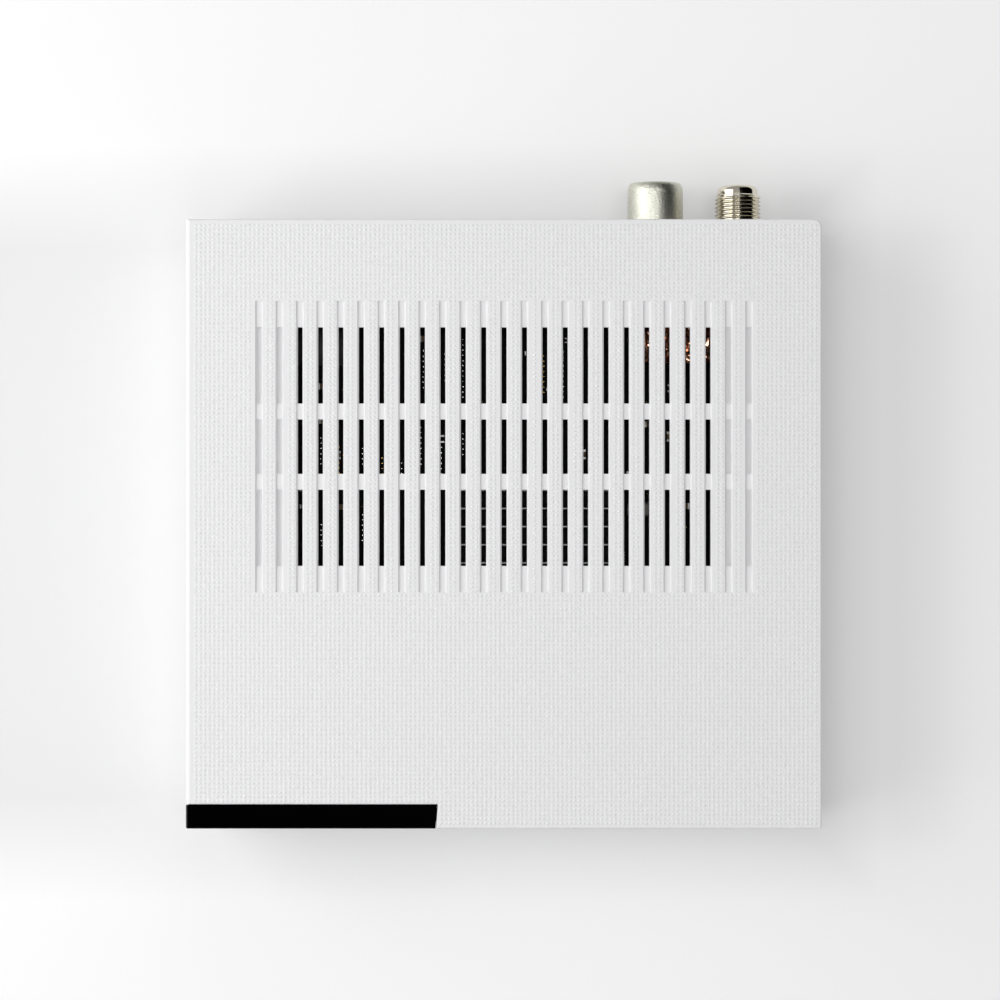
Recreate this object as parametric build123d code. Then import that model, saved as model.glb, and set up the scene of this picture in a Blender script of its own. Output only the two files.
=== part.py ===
from build123d import *
import os

# Television set-top box: a two-piece white case round a main board, with a black corner window.
# Lengths are in mm. X runs from left to right, Y from front to rear and Z up from the table.
# Positions are worked out about the middle of the case. At the end every piece is moved so that
# the origin lies under the middle of the whole outline, with the rear sockets counted in.

# Case
CASE_WIDTH = 128.3
CASE_DEPTH = 123.0
CASE_HEIGHT = 30.0
FOOT_DROP = 1.5
WALL = 2.0
TOP_WALL = 2.2
FLOOR_WALL = 2.0
EDGE_ROUND = 0.35
BOTTOM_CHAMFER = 0.3
LEFT_EDGE_ROUND = 0.9
CORNER_ROUND = 0.4
REAR_RIGHT_ROUND = 1.6
FIT_GAP = 0.1
SEAM_GAP = 0.25
PARTING_RISE = 5.5
LIP_RISE = 2.0
LIP_THICK = 0.9
LIP_END_GAP = 1.0
HALF_W = CASE_WIDTH / 2
HALF_D = CASE_DEPTH / 2
FLOOR_Z = FOOT_DROP + FLOOR_WALL
CEILING_Z = CASE_HEIGHT - TOP_WALL
PARTING_Z = FLOOR_Z + PARTING_RISE
LIP_TOP = PARTING_Z + LIP_RISE

# Cutting tools run past what they cut, and bosses and ribs start inside the wall that carries them
OVERCUT = 1.0
ROOT = 0.5

# Vents in the top: a shallow sloped groove per column, with three deep sections in each
VENT_COLUMNS = 25
BLIND_COLUMNS = 2
VENT_LEFT_MARGIN = 14.0
VENT_RIGHT_MARGIN = 13.85
VENT_REAR_MARGIN = 16.5
GROOVE_OPENING = 1.6
GROOVE_FLOOR = 1.0
GROOVE_DEPTH = 0.45
SLOT_WIDTH = 1.0
SLOT_LENGTHS = (15.4, 11.0, 15.4)
SLOT_BRIDGE = 3.2
SLOT_END_LAND = 5.3
BLIND_DEPTH = 1.2
FIRST_VENT_X = VENT_LEFT_MARGIN + GROOVE_OPENING / 2 - HALF_W
LAST_VENT_X = HALF_W - VENT_RIGHT_MARGIN - GROOVE_OPENING / 2
VENT_PITCH = (LAST_VENT_X - FIRST_VENT_X) / (VENT_COLUMNS - 1)
GROOVE_LENGTH = sum(SLOT_LENGTHS) + 2 * SLOT_BRIDGE + 2 * SLOT_END_LAND
GROOVE_REAR_Y = HALF_D - VENT_REAR_MARGIN

# Black window over the front left corner, and the ledge of the cover behind it
WINDOW_LENGTH = 50.7
WINDOW_RETURN = 4.8
WINDOW_DRAFT = 0.4
WINDOW_WALL = 2.0
WINDOW_EDGE_ROUND = 0.3
SEAT_WALL = 1.5
WINDOW_SILL = 0.5
WINDOW_RIGHT = -HALF_W + WINDOW_LENGTH
WINDOW_REAR_Y = -HALF_D + WINDOW_RETURN
WINDOW_BOTTOM = LIP_TOP + SEAT_WALL + WINDOW_SILL
SEAT_IN_X = -HALF_W + WINDOW_WALL + FIT_GAP + SEAT_WALL
SEAT_IN_Y = -HALF_D + WINDOW_WALL + FIT_GAP + SEAT_WALL
SEAT_IN_Z = CASE_HEIGHT - WINDOW_WALL - FIT_GAP - SEAT_WALL

# Feet and screws
FOOT_RADIUS = 5.0
FOOT_RECESS = 0.8
FOOT_SIDE_INSET = 14.0
FOOT_END_INSET = 14.5
BOSS_RADIUS = 3.6
BOSS_IN_WALL = 0.6
SCREW_RADIUS = 1.25
SCREW_HEAD_RADIUS = 2.4
SCREW_HEAD_RISE = 1.8
SCREW_LENGTH = 12.0
SCREW_END_INSET = 32.6
SCREW_SEAT_RISE = 5.0
SCREW_CLEARANCE = 0.3
PILOT_CLEARANCE = 0.05
PILOT_SPARE = 1.0
FOOT_X = HALF_W - FOOT_SIDE_INSET
FOOT_Y = HALF_D - FOOT_END_INSET
SCREW_X = HALF_W - WALL - BOSS_RADIUS + BOSS_IN_WALL
SCREW_Y = HALF_D - SCREW_END_INSET
SCREW_SEAT_Z = FOOT_DROP + SCREW_SEAT_RISE

# Air slots in the floor
FLOOR_SLOTS = 13
FLOOR_SLOT_PITCH = 5.0
FLOOR_SLOT_WIDTH = 1.6
FLOOR_SLOT_LENGTH = 26.0
FLOOR_SLOT_ROWS = (-20.0, 12.0)

# Main board on its standoffs
BOARD_THICK = 1.6
BOARD_EDGE_GAP = 1.0
STANDOFF_RISE = CASE_HEIGHT / 7.5
STANDOFF_RADIUS = 3.0
STANDOFF_INSET = 9.1
STANDOFF_FRONT = 8.5
STANDOFF_REAR = 33.5
BOARD_SCREW_RADIUS = 1.1
BOARD_SCREW_LENGTH = 5.0
BOARD_PILOT_SPARE = 0.4
BOARD_HALF_W = HALF_W - WALL - BOARD_EDGE_GAP
BOARD_Z = FLOOR_Z + STANDOFF_RISE
BOARD_TOP = BOARD_Z + BOARD_THICK
STANDOFF_X = SCREW_X - BOSS_RADIUS - STANDOFF_INSET

# Rear panel held in a groove round the opening
PANEL_THICK = 2.0
PANEL_INSET = 1.0
PANEL_BITE = 1.0
PORT_CLEARANCE = 0.3
SOCKET_PROUD = 0.3
BOARD_END_GAP = 1.0
PANEL_OUT_Y = HALF_D - PANEL_INSET
PANEL_IN_Y = PANEL_OUT_Y - PANEL_THICK
PANEL_THROUGH = (PANEL_IN_Y - OVERCUT, PANEL_OUT_Y + OVERCUT)
SOCKET_FACE_Y = PANEL_OUT_Y + SOCKET_PROUD
BOARD_REAR_Y = PANEL_IN_Y - BOARD_END_GAP

# Aerial sockets and the tuner can they sit on
AERIAL_RADIUS = 5.75
AERIAL_BORE_RADIUS = 4.8
AERIAL_BORE_DEPTH = 10.5
AERIAL_REACH = 8.65
AERIAL_NOSE_RIM = 0.05
AERIAL_NOSE_LENGTH = 2.0
AERIAL_CROWN_OUT = 0.7
AERIAL_CROWN_BACK = 0.4
AERIAL_COLLAR = 0.6
AERIAL_BASE = 2.0
AERIAL_SLEEVE_RADIUS = 2.2
AERIAL_SLEEVE_BACK = 3.0
AERIAL_CONTACT_RADIUS = 1.6
AERIAL_CONTACT_WALL = 0.35
AERIAL_CONTACT_BACK = 2.4
AERIAL_CONTACT_FLOOR = 1.0
AERIAL_X = HALF_W * 0.488
F_THREAD_RADIUS = 9.525 / 2
F_NOSE_RADIUS = 4.15
F_NOSE_ROUND = 1.2
F_NOSE_LENGTH = 1.9
F_LEAD_IN = 0.6
F_NECK_RISE = 0.5
F_COLLAR = 0.8
F_BORE_RADIUS = 2.7
F_BORE_DEPTH = 12.0
F_REACH = 8.15
F_INSULATOR_BACK = 0.5
F_CONTACT_RADIUS = 0.6
F_CONTACT_ROOT = 1.0
F_CONTACT_BACK = 4.0
F_X = HALF_W * 0.753
F_NECK_RADIUS = F_THREAD_RADIUS + F_NECK_RISE
SOCKET_COLLAR = 2.0
INSULATOR_FIT = 0.05
SOCKET_AXIS_RISE = 6.6
CAN_FRONT_INSET = 27.9
CAN_DEPTH = 13.5
CAN_SIDE = 5.3
CAN_HEADROOM = 3.0
CAN_SHEET = 0.5
LID_SKIRT = 3.0
FOIL_THICK = 0.2
FOIL_SKIRT = 2.5
FOIL_REAR_INSET = 0.5
SOCKET_AXIS_Z = BOARD_TOP + SOCKET_AXIS_RISE
CAN_FRONT_Y = HALF_D - CAN_FRONT_INSET
CAN_REAR_Y = CAN_FRONT_Y + CAN_DEPTH
CAN_LEFT_X = AERIAL_X - CAN_SIDE
CAN_RIGHT_X = F_X + CAN_SIDE
CAN_TOP_Z = CEILING_Z - CAN_HEADROOM
AERIAL_TIP_Y = HALF_D + AERIAL_REACH
F_TIP_Y = HALF_D + F_REACH

# Rear sockets from left to right, evenly spaced between the left wall and the aerial socket
PORT_WIDTHS = {"power": 9.0, "network": 15.9, "usb": 13.1, "hdmi": 14.6, "optical": 10.6}
PORTS_LEFT_GAP = 0.5
PORTS_RIGHT_GAP = 2.5
PORTS_LEFT_X = PORTS_LEFT_GAP - BOARD_HALF_W
PORTS_RIGHT_X = AERIAL_X - AERIAL_RADIUS - PORTS_RIGHT_GAP
PORT_SPACE = (PORTS_RIGHT_X - PORTS_LEFT_X - sum(PORT_WIDTHS.values())) / (len(PORT_WIDTHS) - 1)
POWER_SIZE = (14.0, 11.0)
POWER_BORE_RADIUS = 3.1
POWER_BORE_DEPTH = 10.0
POWER_PIN_RADIUS = 1.05
POWER_PIN_BACK = 1.0
NETWORK_SIZE = (16.0, 13.4)
NETWORK_SHEET = 0.3
NETWORK_DEPTH = 11.5
PLUG_WIDTH = 11.9
PLUG_RISE = 7.2
CATCH_WIDTH = 6.4
CATCH_RISE = 2.2
CATCH_FLOOR = 1.8
WIRE_COUNT = 8
WIRE_PITCH = 1.02
WIRE_THICK = 0.4
WIRE_LENGTH = 8.5
WIRE_RISE = 9.9
USB_SIZE = (14.0, 5.8)
USB_TONGUE_SIZE = (11.1, 1.8)
USB_TONGUE_DROP = 0.8
USB_TONGUE_BACK = 0.8
USB_BASE = 4.0
HDMI_SIZE = (11.5, 5.8)
HDMI_SLANT = 1.7
HDMI_SHOULDER_SHARE = 0.45
HDMI_TONGUE_SIZE = (11.2, 1.5)
HDMI_TONGUE_SHARE = 0.58
HDMI_TONGUE_BACK = 1.2
HDMI_BASE = 3.5
SHELL_SHEET = 0.4
OPTICAL_SIZE = (14.0, 10.6)
OPTICAL_HOLE = 8.4
OPTICAL_DEPTH = 11.0
FLAP_THICK = 0.8
FLAP_PIN_RADIUS = 0.45
FLAP_PIN_REACH = 0.6
FLAP_PIN_FIT = 0.05
FLAP_PIN_SPARE = 0.2
FLAP_KNUCKLE_RADIUS = 0.55
FLAP_SET_BACK = 0.9
FLAP_TOP_GAP = 0.15
FLAP_SIDE_GAP = 0.2
FLAP_BOTTOM_GAP = 0.25
EMITTER_RADIUS = 1.6
EMITTER_LENGTH = 1.8

# Heat sink with fins from left to right over the system chip
SINK_WIDTH = 32.0
SINK_BASE = 3.0
FIN_COUNT = 8
FIN_PITCH = 3.7
FIN_THICK = 0.8
SINK_HEADROOM = 3.4
FIN_TOP_Z = CEILING_Z - SINK_HEADROOM
SINK_X = CASE_WIDTH * 0.047
SINK_Y = -6.15
SINK_DEPTH = (FIN_COUNT - 1) * FIN_PITCH + FIN_THICK
CHIP_SIZE = 19.0
CHIP_RISE = 1.8
PAD_THICK = 0.5

# Other parts on the main board: width, depth and rise
MEMORY_SIZE = (9.0, 13.0, 1.1)
MEMORY_GAP = 3.0
MEMORY_SHARE = 0.77
FLASH_SIZE = (11.5, 13.0, 1.1)
FLASH_SIDE_GAP = 9.0
FLASH_FORWARD = 6.0
CRYSTAL_SIZE = (5.0, 3.2, 1.2)
CRYSTAL_SIDE_GAP = 6.0
CRYSTAL_BACK = 9.0
INDUCTOR_SIZE = (7.0, 7.0, 4.0)
INDUCTOR_COUNT = 3
INDUCTOR_PITCH = 11.0
INDUCTOR_SIDE_GAP = 12.0
INDUCTOR_INSET = 8.5
TRANSFORMER_SIZE = (12.5, 9.0, 5.5)
TRANSFORMER_GAP = 8.0
TUNER_CHIP_SIZE = (6.0, 6.0, 1.0)
CAPACITOR_RADIUS = 4.0
CAPACITOR_RISE = 12.0
CAPACITOR_SIDE_GAP = 9.0
CAPACITOR_PITCH = 9.5
CAPACITOR_COUNT = 3

# Front board behind the window, with its display, receiver, light and key switch
FRONT_BOARD_THICK = 1.6
DISPLAY_WIDTH = 28.0
DISPLAY_MARGIN = 1.2
DISPLAY_RISE = SEAT_IN_Z - WINDOW_BOTTOM - 2 * DISPLAY_MARGIN
DISPLAY_THICK = 6.5
DISPLAY_FRONT_GAP = 0.3
DISPLAY_SIDE_GAP = 3.2
LIGHT_SPACING = 6.0
LIGHT_RADIUS = 1.5
LIGHT_LENGTH = 5.6
LIGHT_CHAMFER = 0.8
LIGHT_RIM_RADIUS = 1.9
LIGHT_RIM_THICK = 1.0
RECEIVER_INSET = 5.0
RECEIVER_SIZE = (5.6, 4.0, 6.6)
LENS_RADIUS = 2.0
LENS_RISE = 1.6
LENS_CHAMFER = 1.0
LIGHT_OPENING_EDGE = 0.8
LIGHT_OPENING_RISE = 7.0
FRONT_BOARD_FLOOR_GAP = 4.5
FRONT_BOARD_TOP_MARGIN = 0.7
FRONT_BOARD_SIDE_MARGIN = 2.0
HEADER_SIZE = (12.7, 3.0, 2.5)
GUIDE_RISE = 6.0
GUIDE_WALL = 1.5
GUIDE_OVERLAP = 1.5
GUIDE_END = 2.5
BOARD_FRONT_GAP = 3.0
RECEIVER_X = WINDOW_RIGHT - RECEIVER_INSET
LIGHT_X = RECEIVER_X - LIGHT_SPACING
DISPLAY_X = LIGHT_X - DISPLAY_SIDE_GAP - DISPLAY_WIDTH / 2
DISPLAY_Z = (WINDOW_BOTTOM + SEAT_IN_Z) / 2
FRONT_BOARD_Y = SEAT_IN_Y + DISPLAY_FRONT_GAP + DISPLAY_THICK
FRONT_BOARD_REAR_Y = FRONT_BOARD_Y + FRONT_BOARD_THICK
FRONT_BOARD_TOP = DISPLAY_Z + DISPLAY_RISE / 2 + FRONT_BOARD_TOP_MARGIN
FRONT_BOARD_Z = (FLOOR_Z + FRONT_BOARD_FLOOR_GAP, FRONT_BOARD_TOP)
BOARD_FRONT_Y = FRONT_BOARD_REAR_Y + BOARD_FRONT_GAP
STANDOFF_YS = (BOARD_FRONT_Y + STANDOFF_FRONT, BOARD_REAR_Y - STANDOFF_REAR)

# Standby button and the switch it presses
BUTTON_RADIUS = 4.0
BUTTON_CLEARANCE = 0.3
BUTTON_FLANGE = 1.2
BUTTON_FLANGE_THICK = 0.8
BUTTON_CHAMFER = 0.5
BUTTON_STEM_RADIUS = 1.6
BUTTON_TRAVEL = 0.5
BUTTON_SPACING = 8.5
BUTTON_X = WINDOW_RIGHT + BUTTON_SPACING
BUTTON_Z = DISPLAY_Z
SWITCH_SIZE = 6.0
SWITCH_RISE = 3.5
SWITCH_SIDE_MARGIN = 4.0
PLUNGER_RADIUS = 1.75
PLUNGER_FIT = 0.08
PLUNGER_RISE = 2.0
PLUNGER_ROOT = 1.0
PLUNGER_SPARE = 0.4
FRONT_BOARD_LEFT = DISPLAY_X - DISPLAY_WIDTH / 2 - FRONT_BOARD_SIDE_MARGIN
FRONT_BOARD_RIGHT = BUTTON_X + SWITCH_SIZE / 2 + SWITCH_SIDE_MARGIN
FRONT_BOARD_X = (FRONT_BOARD_LEFT, FRONT_BOARD_RIGHT)
SWITCH_FACE_Y = FRONT_BOARD_Y - SWITCH_RISE
PLUNGER_TIP_Y = SWITCH_FACE_Y - PLUNGER_RISE

# The whole outline runs from the case front to the tip of the aerial socket.
ORIGIN_SHIFT = -max(AERIAL_REACH, F_REACH) / 2


def block(x, y, z):
    """A box from a low and a high value along each axis."""
    pairs = (x, y, z)
    middle = [(low + high) / 2 for low, high in pairs]
    return Pos(*middle) * Box(*[high - low for low, high in pairs])


def around(middle, length):
    """A low and a high value round a middle."""
    return (middle - length / 2, middle + length / 2)


def post(radius, x, y, z):
    """An upright cylinder between two heights."""
    return Pos(x, y, sum(z) / 2) * Cylinder(radius, z[1] - z[0])


def rod(radius, x, y, z):
    """A cylinder that lies along Y between two depths."""
    return Pos(x, sum(y) / 2, z) * Rot(90, 0, 0) * Cylinder(radius, y[1] - y[0])


def cross_rod(radius, x, y, z):
    """A cylinder that lies along X between two sides."""
    return Pos(sum(x) / 2, y, z) * Rot(0, 90, 0) * Cylinder(radius, x[1] - x[0])


def turned(outline, x, tip_y, z):
    """A solid turned about a line along Y from an outline of radius and distance from the tip."""
    return Pos(x, tip_y, z) * revolve(make_face(outline), Axis.Y)


def group(solids):
    """Alike pieces kept together as separate solids."""
    return Compound(list(solids))


def four_corners(x, y):
    return [(side * x, end * y) for side in (-1, 1) for end in (-1, 1)]


def standoff_places():
    return [(side * STANDOFF_X, y) for side in (-1, 1) for y in STANDOFF_YS]


def port_x(name):
    """The middle of a rear socket."""
    names = list(PORT_WIDTHS)
    before = names[:names.index(name)]
    left = PORTS_LEFT_X + sum(PORT_WIDTHS[other] + PORT_SPACE for other in before)
    return left + PORT_WIDTHS[name] / 2


# Case outline and the room inside it

def case_block():
    body = block((-HALF_W, HALF_W), (-HALF_D, HALF_D), (FOOT_DROP, CASE_HEIGHT))
    corners = body.edges().filter_by(Axis.Z).sort_by(lambda edge: edge.center().X + edge.center().Y)
    body = fillet(corners[-1], REAR_RIGHT_ROUND)
    corners = body.edges().filter_by(Axis.Z).sort_by(lambda edge: edge.center().X + edge.center().Y)
    body = fillet(corners[:3], CORNER_ROUND)
    body = fillet(body.faces().sort_by(Axis.Z)[-1].edges(), EDGE_ROUND)
    return chamfer(body.faces().sort_by(Axis.Z)[0].edges(), BOTTOM_CHAMFER)


def left_edge_waste():
    """What the wider rounding along the cover's top left edge takes off."""
    middle_x = LEFT_EDGE_ROUND - HALF_W
    middle_z = CASE_HEIGHT - LEFT_EDGE_ROUND
    along = (WINDOW_REAR_Y, HALF_D + OVERCUT)
    strip = block((-HALF_W - OVERCUT, middle_x), along, (middle_z, CASE_HEIGHT + OVERCUT))
    return strip - rod(LEFT_EDGE_ROUND, middle_x, along, middle_z)


def case_room():
    """The space inside the walls, open at the rear."""
    return block((WALL - HALF_W, HALF_W - WALL), (WALL - HALF_D, HALF_D + OVERCUT), (FLOOR_Z, CEILING_Z))


def panel_groove():
    """The groove that holds the rear panel, all round the rear opening."""
    side = HALF_W - WALL + PANEL_BITE
    low = FLOOR_Z - PANEL_BITE
    high = CEILING_Z + PANEL_BITE
    return block((-side, side), (PANEL_IN_Y - FIT_GAP, PANEL_OUT_Y + FIT_GAP), (low, high))


def lip_block(reach):
    """A low block that reaches into the walls at the parting line, for the lip and its rebate."""
    side = HALF_W - WALL + reach
    return block((-side, side), (WALL - HALF_D - reach, PANEL_IN_Y - LIP_END_GAP), (PARTING_Z, LIP_TOP))


# Top cover

def vent_tool(cut_through):
    """One vent column: the shallow groove and its three deep sections."""
    wide = GROOVE_OPENING / 2
    narrow = GROOVE_FLOOR / 2
    floor_z = CASE_HEIGHT - GROOVE_DEPTH
    above = CASE_HEIGHT + OVERCUT
    left = [(-wide, above), (-wide, CASE_HEIGHT), (-narrow, floor_z)]
    right = [(narrow, floor_z), (wide, CASE_HEIGHT), (wide, above)]
    profile = make_face(Polyline(*left, *right, close=True))
    tool = Pos(0, GROOVE_REAR_Y, 0) * extrude(Plane.XZ * profile, GROOVE_LENGTH)
    bottom = CEILING_Z - OVERCUT if cut_through else CASE_HEIGHT - BLIND_DEPTH
    end_y = GROOVE_REAR_Y - SLOT_END_LAND
    for length in SLOT_LENGTHS:
        tool += block(around(0, SLOT_WIDTH), (end_y - length, end_y), (bottom, above))
        end_y -= length + SLOT_BRIDGE
    return tool


def vent_tools():
    open_tool = vent_tool(True)
    blind_tool = vent_tool(False)
    tools = []
    for column in range(VENT_COLUMNS):
        edge_column = min(column, VENT_COLUMNS - 1 - column) < BLIND_COLUMNS
        x = FIRST_VENT_X + column * VENT_PITCH
        tools.append(Pos(x, 0, 0) * (blind_tool if edge_column else open_tool))
    return tools


def window_zone(gap):
    """The corner that the window fills, its right end slightly slanted, grown by a gap."""
    front_right = WINDOW_RIGHT - WINDOW_DRAFT + gap
    rear_right = WINDOW_RIGHT + gap
    front = -HALF_D - OVERCUT
    rear = WINDOW_REAR_Y + gap
    left = -HALF_W - OVERCUT
    right_end = [(front_right, front), (rear_right, rear)]
    plan = make_face(Polyline((left, front), *right_end, (left, rear), close=True))
    return Pos(0, 0, WINDOW_BOTTOM - gap) * extrude(plan, CASE_HEIGHT + OVERCUT - WINDOW_BOTTOM)


def behind_window(gap):
    """The space behind the window's three walls."""
    low_x = -HALF_W + WINDOW_WALL + gap
    low_y = -HALF_D + WINDOW_WALL + gap
    return block((low_x, HALF_W), (low_y, HALF_D), (0, CASE_HEIGHT - WINDOW_WALL - gap))


def window_seat():
    """The ledge of the cover that the window rests on, with its openings for light."""
    right = WINDOW_RIGHT + FIT_GAP + SEAT_WALL
    rear = WINDOW_REAR_Y + FIT_GAP + SEAT_WALL
    bottom = WINDOW_BOTTOM - FIT_GAP - SEAT_WALL
    low_x = -HALF_W + WALL / 2
    low_y = -HALF_D + WALL / 2
    seat = block((low_x, right), (low_y, rear), (bottom, CASE_HEIGHT - TOP_WALL / 2))
    hollow = block((SEAT_IN_X, right + OVERCUT), (SEAT_IN_Y, rear + OVERCUT), (bottom - OVERCUT, SEAT_IN_Z))
    return seat - hollow


def light_openings():
    through = (-HALF_D + WALL / 2, SEAT_IN_Y + OVERCUT)
    width = DISPLAY_WIDTH - 2 * LIGHT_OPENING_EDGE
    rise = DISPLAY_RISE - 2 * LIGHT_OPENING_EDGE
    display_opening = block(around(DISPLAY_X, width), through, around(DISPLAY_Z, rise))
    left = LIGHT_X - LIGHT_RADIUS - LIGHT_OPENING_EDGE
    right = RECEIVER_X + RECEIVER_SIZE[0] / 2 + LIGHT_OPENING_EDGE
    signal_opening = block((left, right), through, around(DISPLAY_Z, LIGHT_OPENING_RISE))
    return [display_opening, signal_opening]


def screw_posts():
    posts = []
    for x, y in four_corners(SCREW_X, SCREW_Y):
        pillar = post(BOSS_RADIUS, x, y, (LIP_TOP, CEILING_Z + TOP_WALL / 2))
        pilot_top = SCREW_SEAT_Z + SCREW_LENGTH + PILOT_SPARE
        pilot = post(SCREW_RADIUS + PILOT_CLEARANCE, x, y, (LIP_TOP, pilot_top))
        posts.append(pillar - pilot)
    return posts


def soften_window_edge(cover):
    """Round the cover's outer edges where they meet the window on the top."""
    rim = cover.faces().sort_by(Axis.Z)[-1].edges()
    rim = rim.filter_by(lambda edge: edge.center().Y < WINDOW_REAR_Y + 2 * FIT_GAP)
    rim = rim.filter_by(lambda edge: edge.center().X < WINDOW_RIGHT + 2 * FIT_GAP)
    return fillet(rim, WINDOW_EDGE_ROUND)


def top_cover():
    seam = PARTING_Z + SEAM_GAP
    cover = case_block() & block((-HALF_W, HALF_W), (-HALF_D, HALF_D), (seam, CASE_HEIGHT))
    cover -= case_room()
    cover += window_seat()
    cover += screw_posts()
    cover -= [panel_groove(), lip_block(LIP_THICK + FIT_GAP)]
    cover -= window_zone(FIT_GAP) - behind_window(FIT_GAP)
    cover = soften_window_edge(cover)
    cover -= left_edge_waste()
    cover -= light_openings()
    hole_radius = BUTTON_RADIUS + BUTTON_CLEARANCE
    cover -= rod(hole_radius, BUTTON_X, (-HALF_D - OVERCUT, WALL - HALF_D + OVERCUT), BUTTON_Z)
    return cover - vent_tools()


def front_window():
    return (case_block() & window_zone(0)) - behind_window(0)


# Base tray

def base_bosses():
    bosses = []
    for x, y in four_corners(SCREW_X, SCREW_Y):
        bosses.append(post(BOSS_RADIUS, x, y, (FLOOR_Z - ROOT, LIP_TOP)))
    for x, y in standoff_places():
        bosses.append(post(STANDOFF_RADIUS, x, y, (FLOOR_Z - ROOT, BOARD_Z)))
    return bosses


def base_holes():
    holes = []
    for x, y in four_corners(SCREW_X, SCREW_Y):
        holes.append(post(SCREW_RADIUS + SCREW_CLEARANCE, x, y, (FOOT_DROP, LIP_TOP + OVERCUT)))
        holes.append(post(SCREW_HEAD_RADIUS + SCREW_CLEARANCE, x, y, (FOOT_DROP - OVERCUT, SCREW_SEAT_Z)))
    for x, y in standoff_places():
        low = BOARD_TOP - BOARD_SCREW_LENGTH - BOARD_PILOT_SPARE
        holes.append(post(BOARD_SCREW_RADIUS + PILOT_CLEARANCE, x, y, (low, BOARD_Z + OVERCUT)))
    for x, y in four_corners(FOOT_X, FOOT_Y):
        holes.append(post(FOOT_RADIUS + FIT_GAP, x, y, (FOOT_DROP - OVERCUT, FOOT_DROP + FOOT_RECESS)))
    return holes


def floor_slots():
    slots = []
    through = (FOOT_DROP - OVERCUT, FLOOR_Z + OVERCUT)
    for row_y in FLOOR_SLOT_ROWS:
        for index in range(FLOOR_SLOTS):
            x = (index - (FLOOR_SLOTS - 1) / 2) * FLOOR_SLOT_PITCH
            across = around(x, FLOOR_SLOT_WIDTH)
            slots.append(block(across, around(row_y, FLOOR_SLOT_LENGTH), through))
    return slots


def board_guides():
    """Two slotted ribs on the floor that hold the ends of the front board."""
    guides = []
    slot = (FRONT_BOARD_Y - FIT_GAP, FRONT_BOARD_REAR_Y + FIT_GAP)
    depth = (slot[0] - GUIDE_WALL, slot[1] + GUIDE_WALL)
    low, high = FRONT_BOARD_Z
    for end, outward in zip(FRONT_BOARD_X, (-1, 1)):
        across = sorted((end + outward * GUIDE_END, end - outward * GUIDE_OVERLAP))
        rib = block(across, depth, (FLOOR_Z - ROOT, low + GUIDE_RISE))
        inner = sorted((end + outward * FIT_GAP, end - outward * (GUIDE_OVERLAP + OVERCUT)))
        guides.append(rib - block(inner, slot, (low, high)))
    return guides


def base_tray():
    tray = case_block() & block((-HALF_W, HALF_W), (-HALF_D, HALF_D), (FOOT_DROP, PARTING_Z))
    tray += lip_block(LIP_THICK)
    tray -= case_room()
    tray -= panel_groove()
    tray += base_bosses()
    tray += board_guides()
    tray -= base_holes()
    return tray - floor_slots()


def rubber_feet():
    top = FOOT_DROP + FOOT_RECESS
    return group(post(FOOT_RADIUS, x, y, (0, top)) for x, y in four_corners(FOOT_X, FOOT_Y))


def screw(shank_radius, head_radius, x, y, seat_z, length, points_up):
    """A pan-head screw whose head bears on the seat height."""
    way = 1 if points_up else -1
    head = sorted((seat_z, seat_z - way * SCREW_HEAD_RISE))
    shank = sorted((seat_z, seat_z + way * length))
    return post(head_radius, x, y, head) + post(shank_radius, x, y, shank)


def case_screws():
    places = four_corners(SCREW_X, SCREW_Y)
    return group(
        screw(SCREW_RADIUS, SCREW_HEAD_RADIUS, x, y, SCREW_SEAT_Z, SCREW_LENGTH, True) for x, y in places
    )


# Rear panel with its cut-outs

def port_outline(name, rise):
    width = PORT_WIDTHS[name] + 2 * PORT_CLEARANCE
    height = (BOARD_TOP - PORT_CLEARANCE, BOARD_TOP + rise + PORT_CLEARANCE)
    return block(around(port_x(name), width), PANEL_THROUGH, height)


def rear_panel():
    side = HALF_W - WALL + PANEL_BITE - FIT_GAP
    height = (FLOOR_Z - PANEL_BITE + FIT_GAP, CEILING_Z + PANEL_BITE - FIT_GAP)
    panel = block((-side, side), (PANEL_IN_Y, PANEL_OUT_Y), height)
    sizes = {"power": POWER_SIZE, "network": NETWORK_SIZE, "usb": USB_SIZE, "optical": OPTICAL_SIZE}
    panel -= [port_outline(name, rise) for name, (depth, rise) in sizes.items()]
    panel -= hdmi_prism(-PORT_CLEARANCE, PANEL_THROUGH)
    panel -= rod(AERIAL_RADIUS + PORT_CLEARANCE, AERIAL_X, PANEL_THROUGH, SOCKET_AXIS_Z)
    return panel - rod(F_NECK_RADIUS + PORT_CLEARANCE, F_X, PANEL_THROUGH, SOCKET_AXIS_Z)


# Boards

def main_board():
    """A board with screw holes, notched round the posts of the case."""
    board = block((-BOARD_HALF_W, BOARD_HALF_W), (BOARD_FRONT_Y, BOARD_REAR_Y), (BOARD_Z, BOARD_TOP))
    hole_radius = BOARD_SCREW_RADIUS + SCREW_CLEARANCE
    through = (BOARD_Z - OVERCUT, BOARD_TOP + OVERCUT)
    board -= [post(hole_radius, x, y, through) for x, y in standoff_places()]
    notch = BOSS_RADIUS + BOARD_EDGE_GAP
    for x, y in four_corners(SCREW_X, SCREW_Y):
        side = sorted((x, x * 2))
        board -= [post(notch, x, y, through), block(side, around(y, 2 * notch), through)]
    return board


def board_screws():
    head_radius = BOARD_SCREW_RADIUS * 2
    return group(
        screw(BOARD_SCREW_RADIUS, head_radius, x, y, BOARD_TOP, BOARD_SCREW_LENGTH, False)
        for x, y in standoff_places()
    )


def on_board(x, y, width, depth, rise):
    """A plain block that stands on the main board."""
    return block(around(x, width), around(y, depth), (BOARD_TOP, BOARD_TOP + rise))


def system_chip():
    return on_board(SINK_X, SINK_Y, CHIP_SIZE, CHIP_SIZE, CHIP_RISE)


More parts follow.
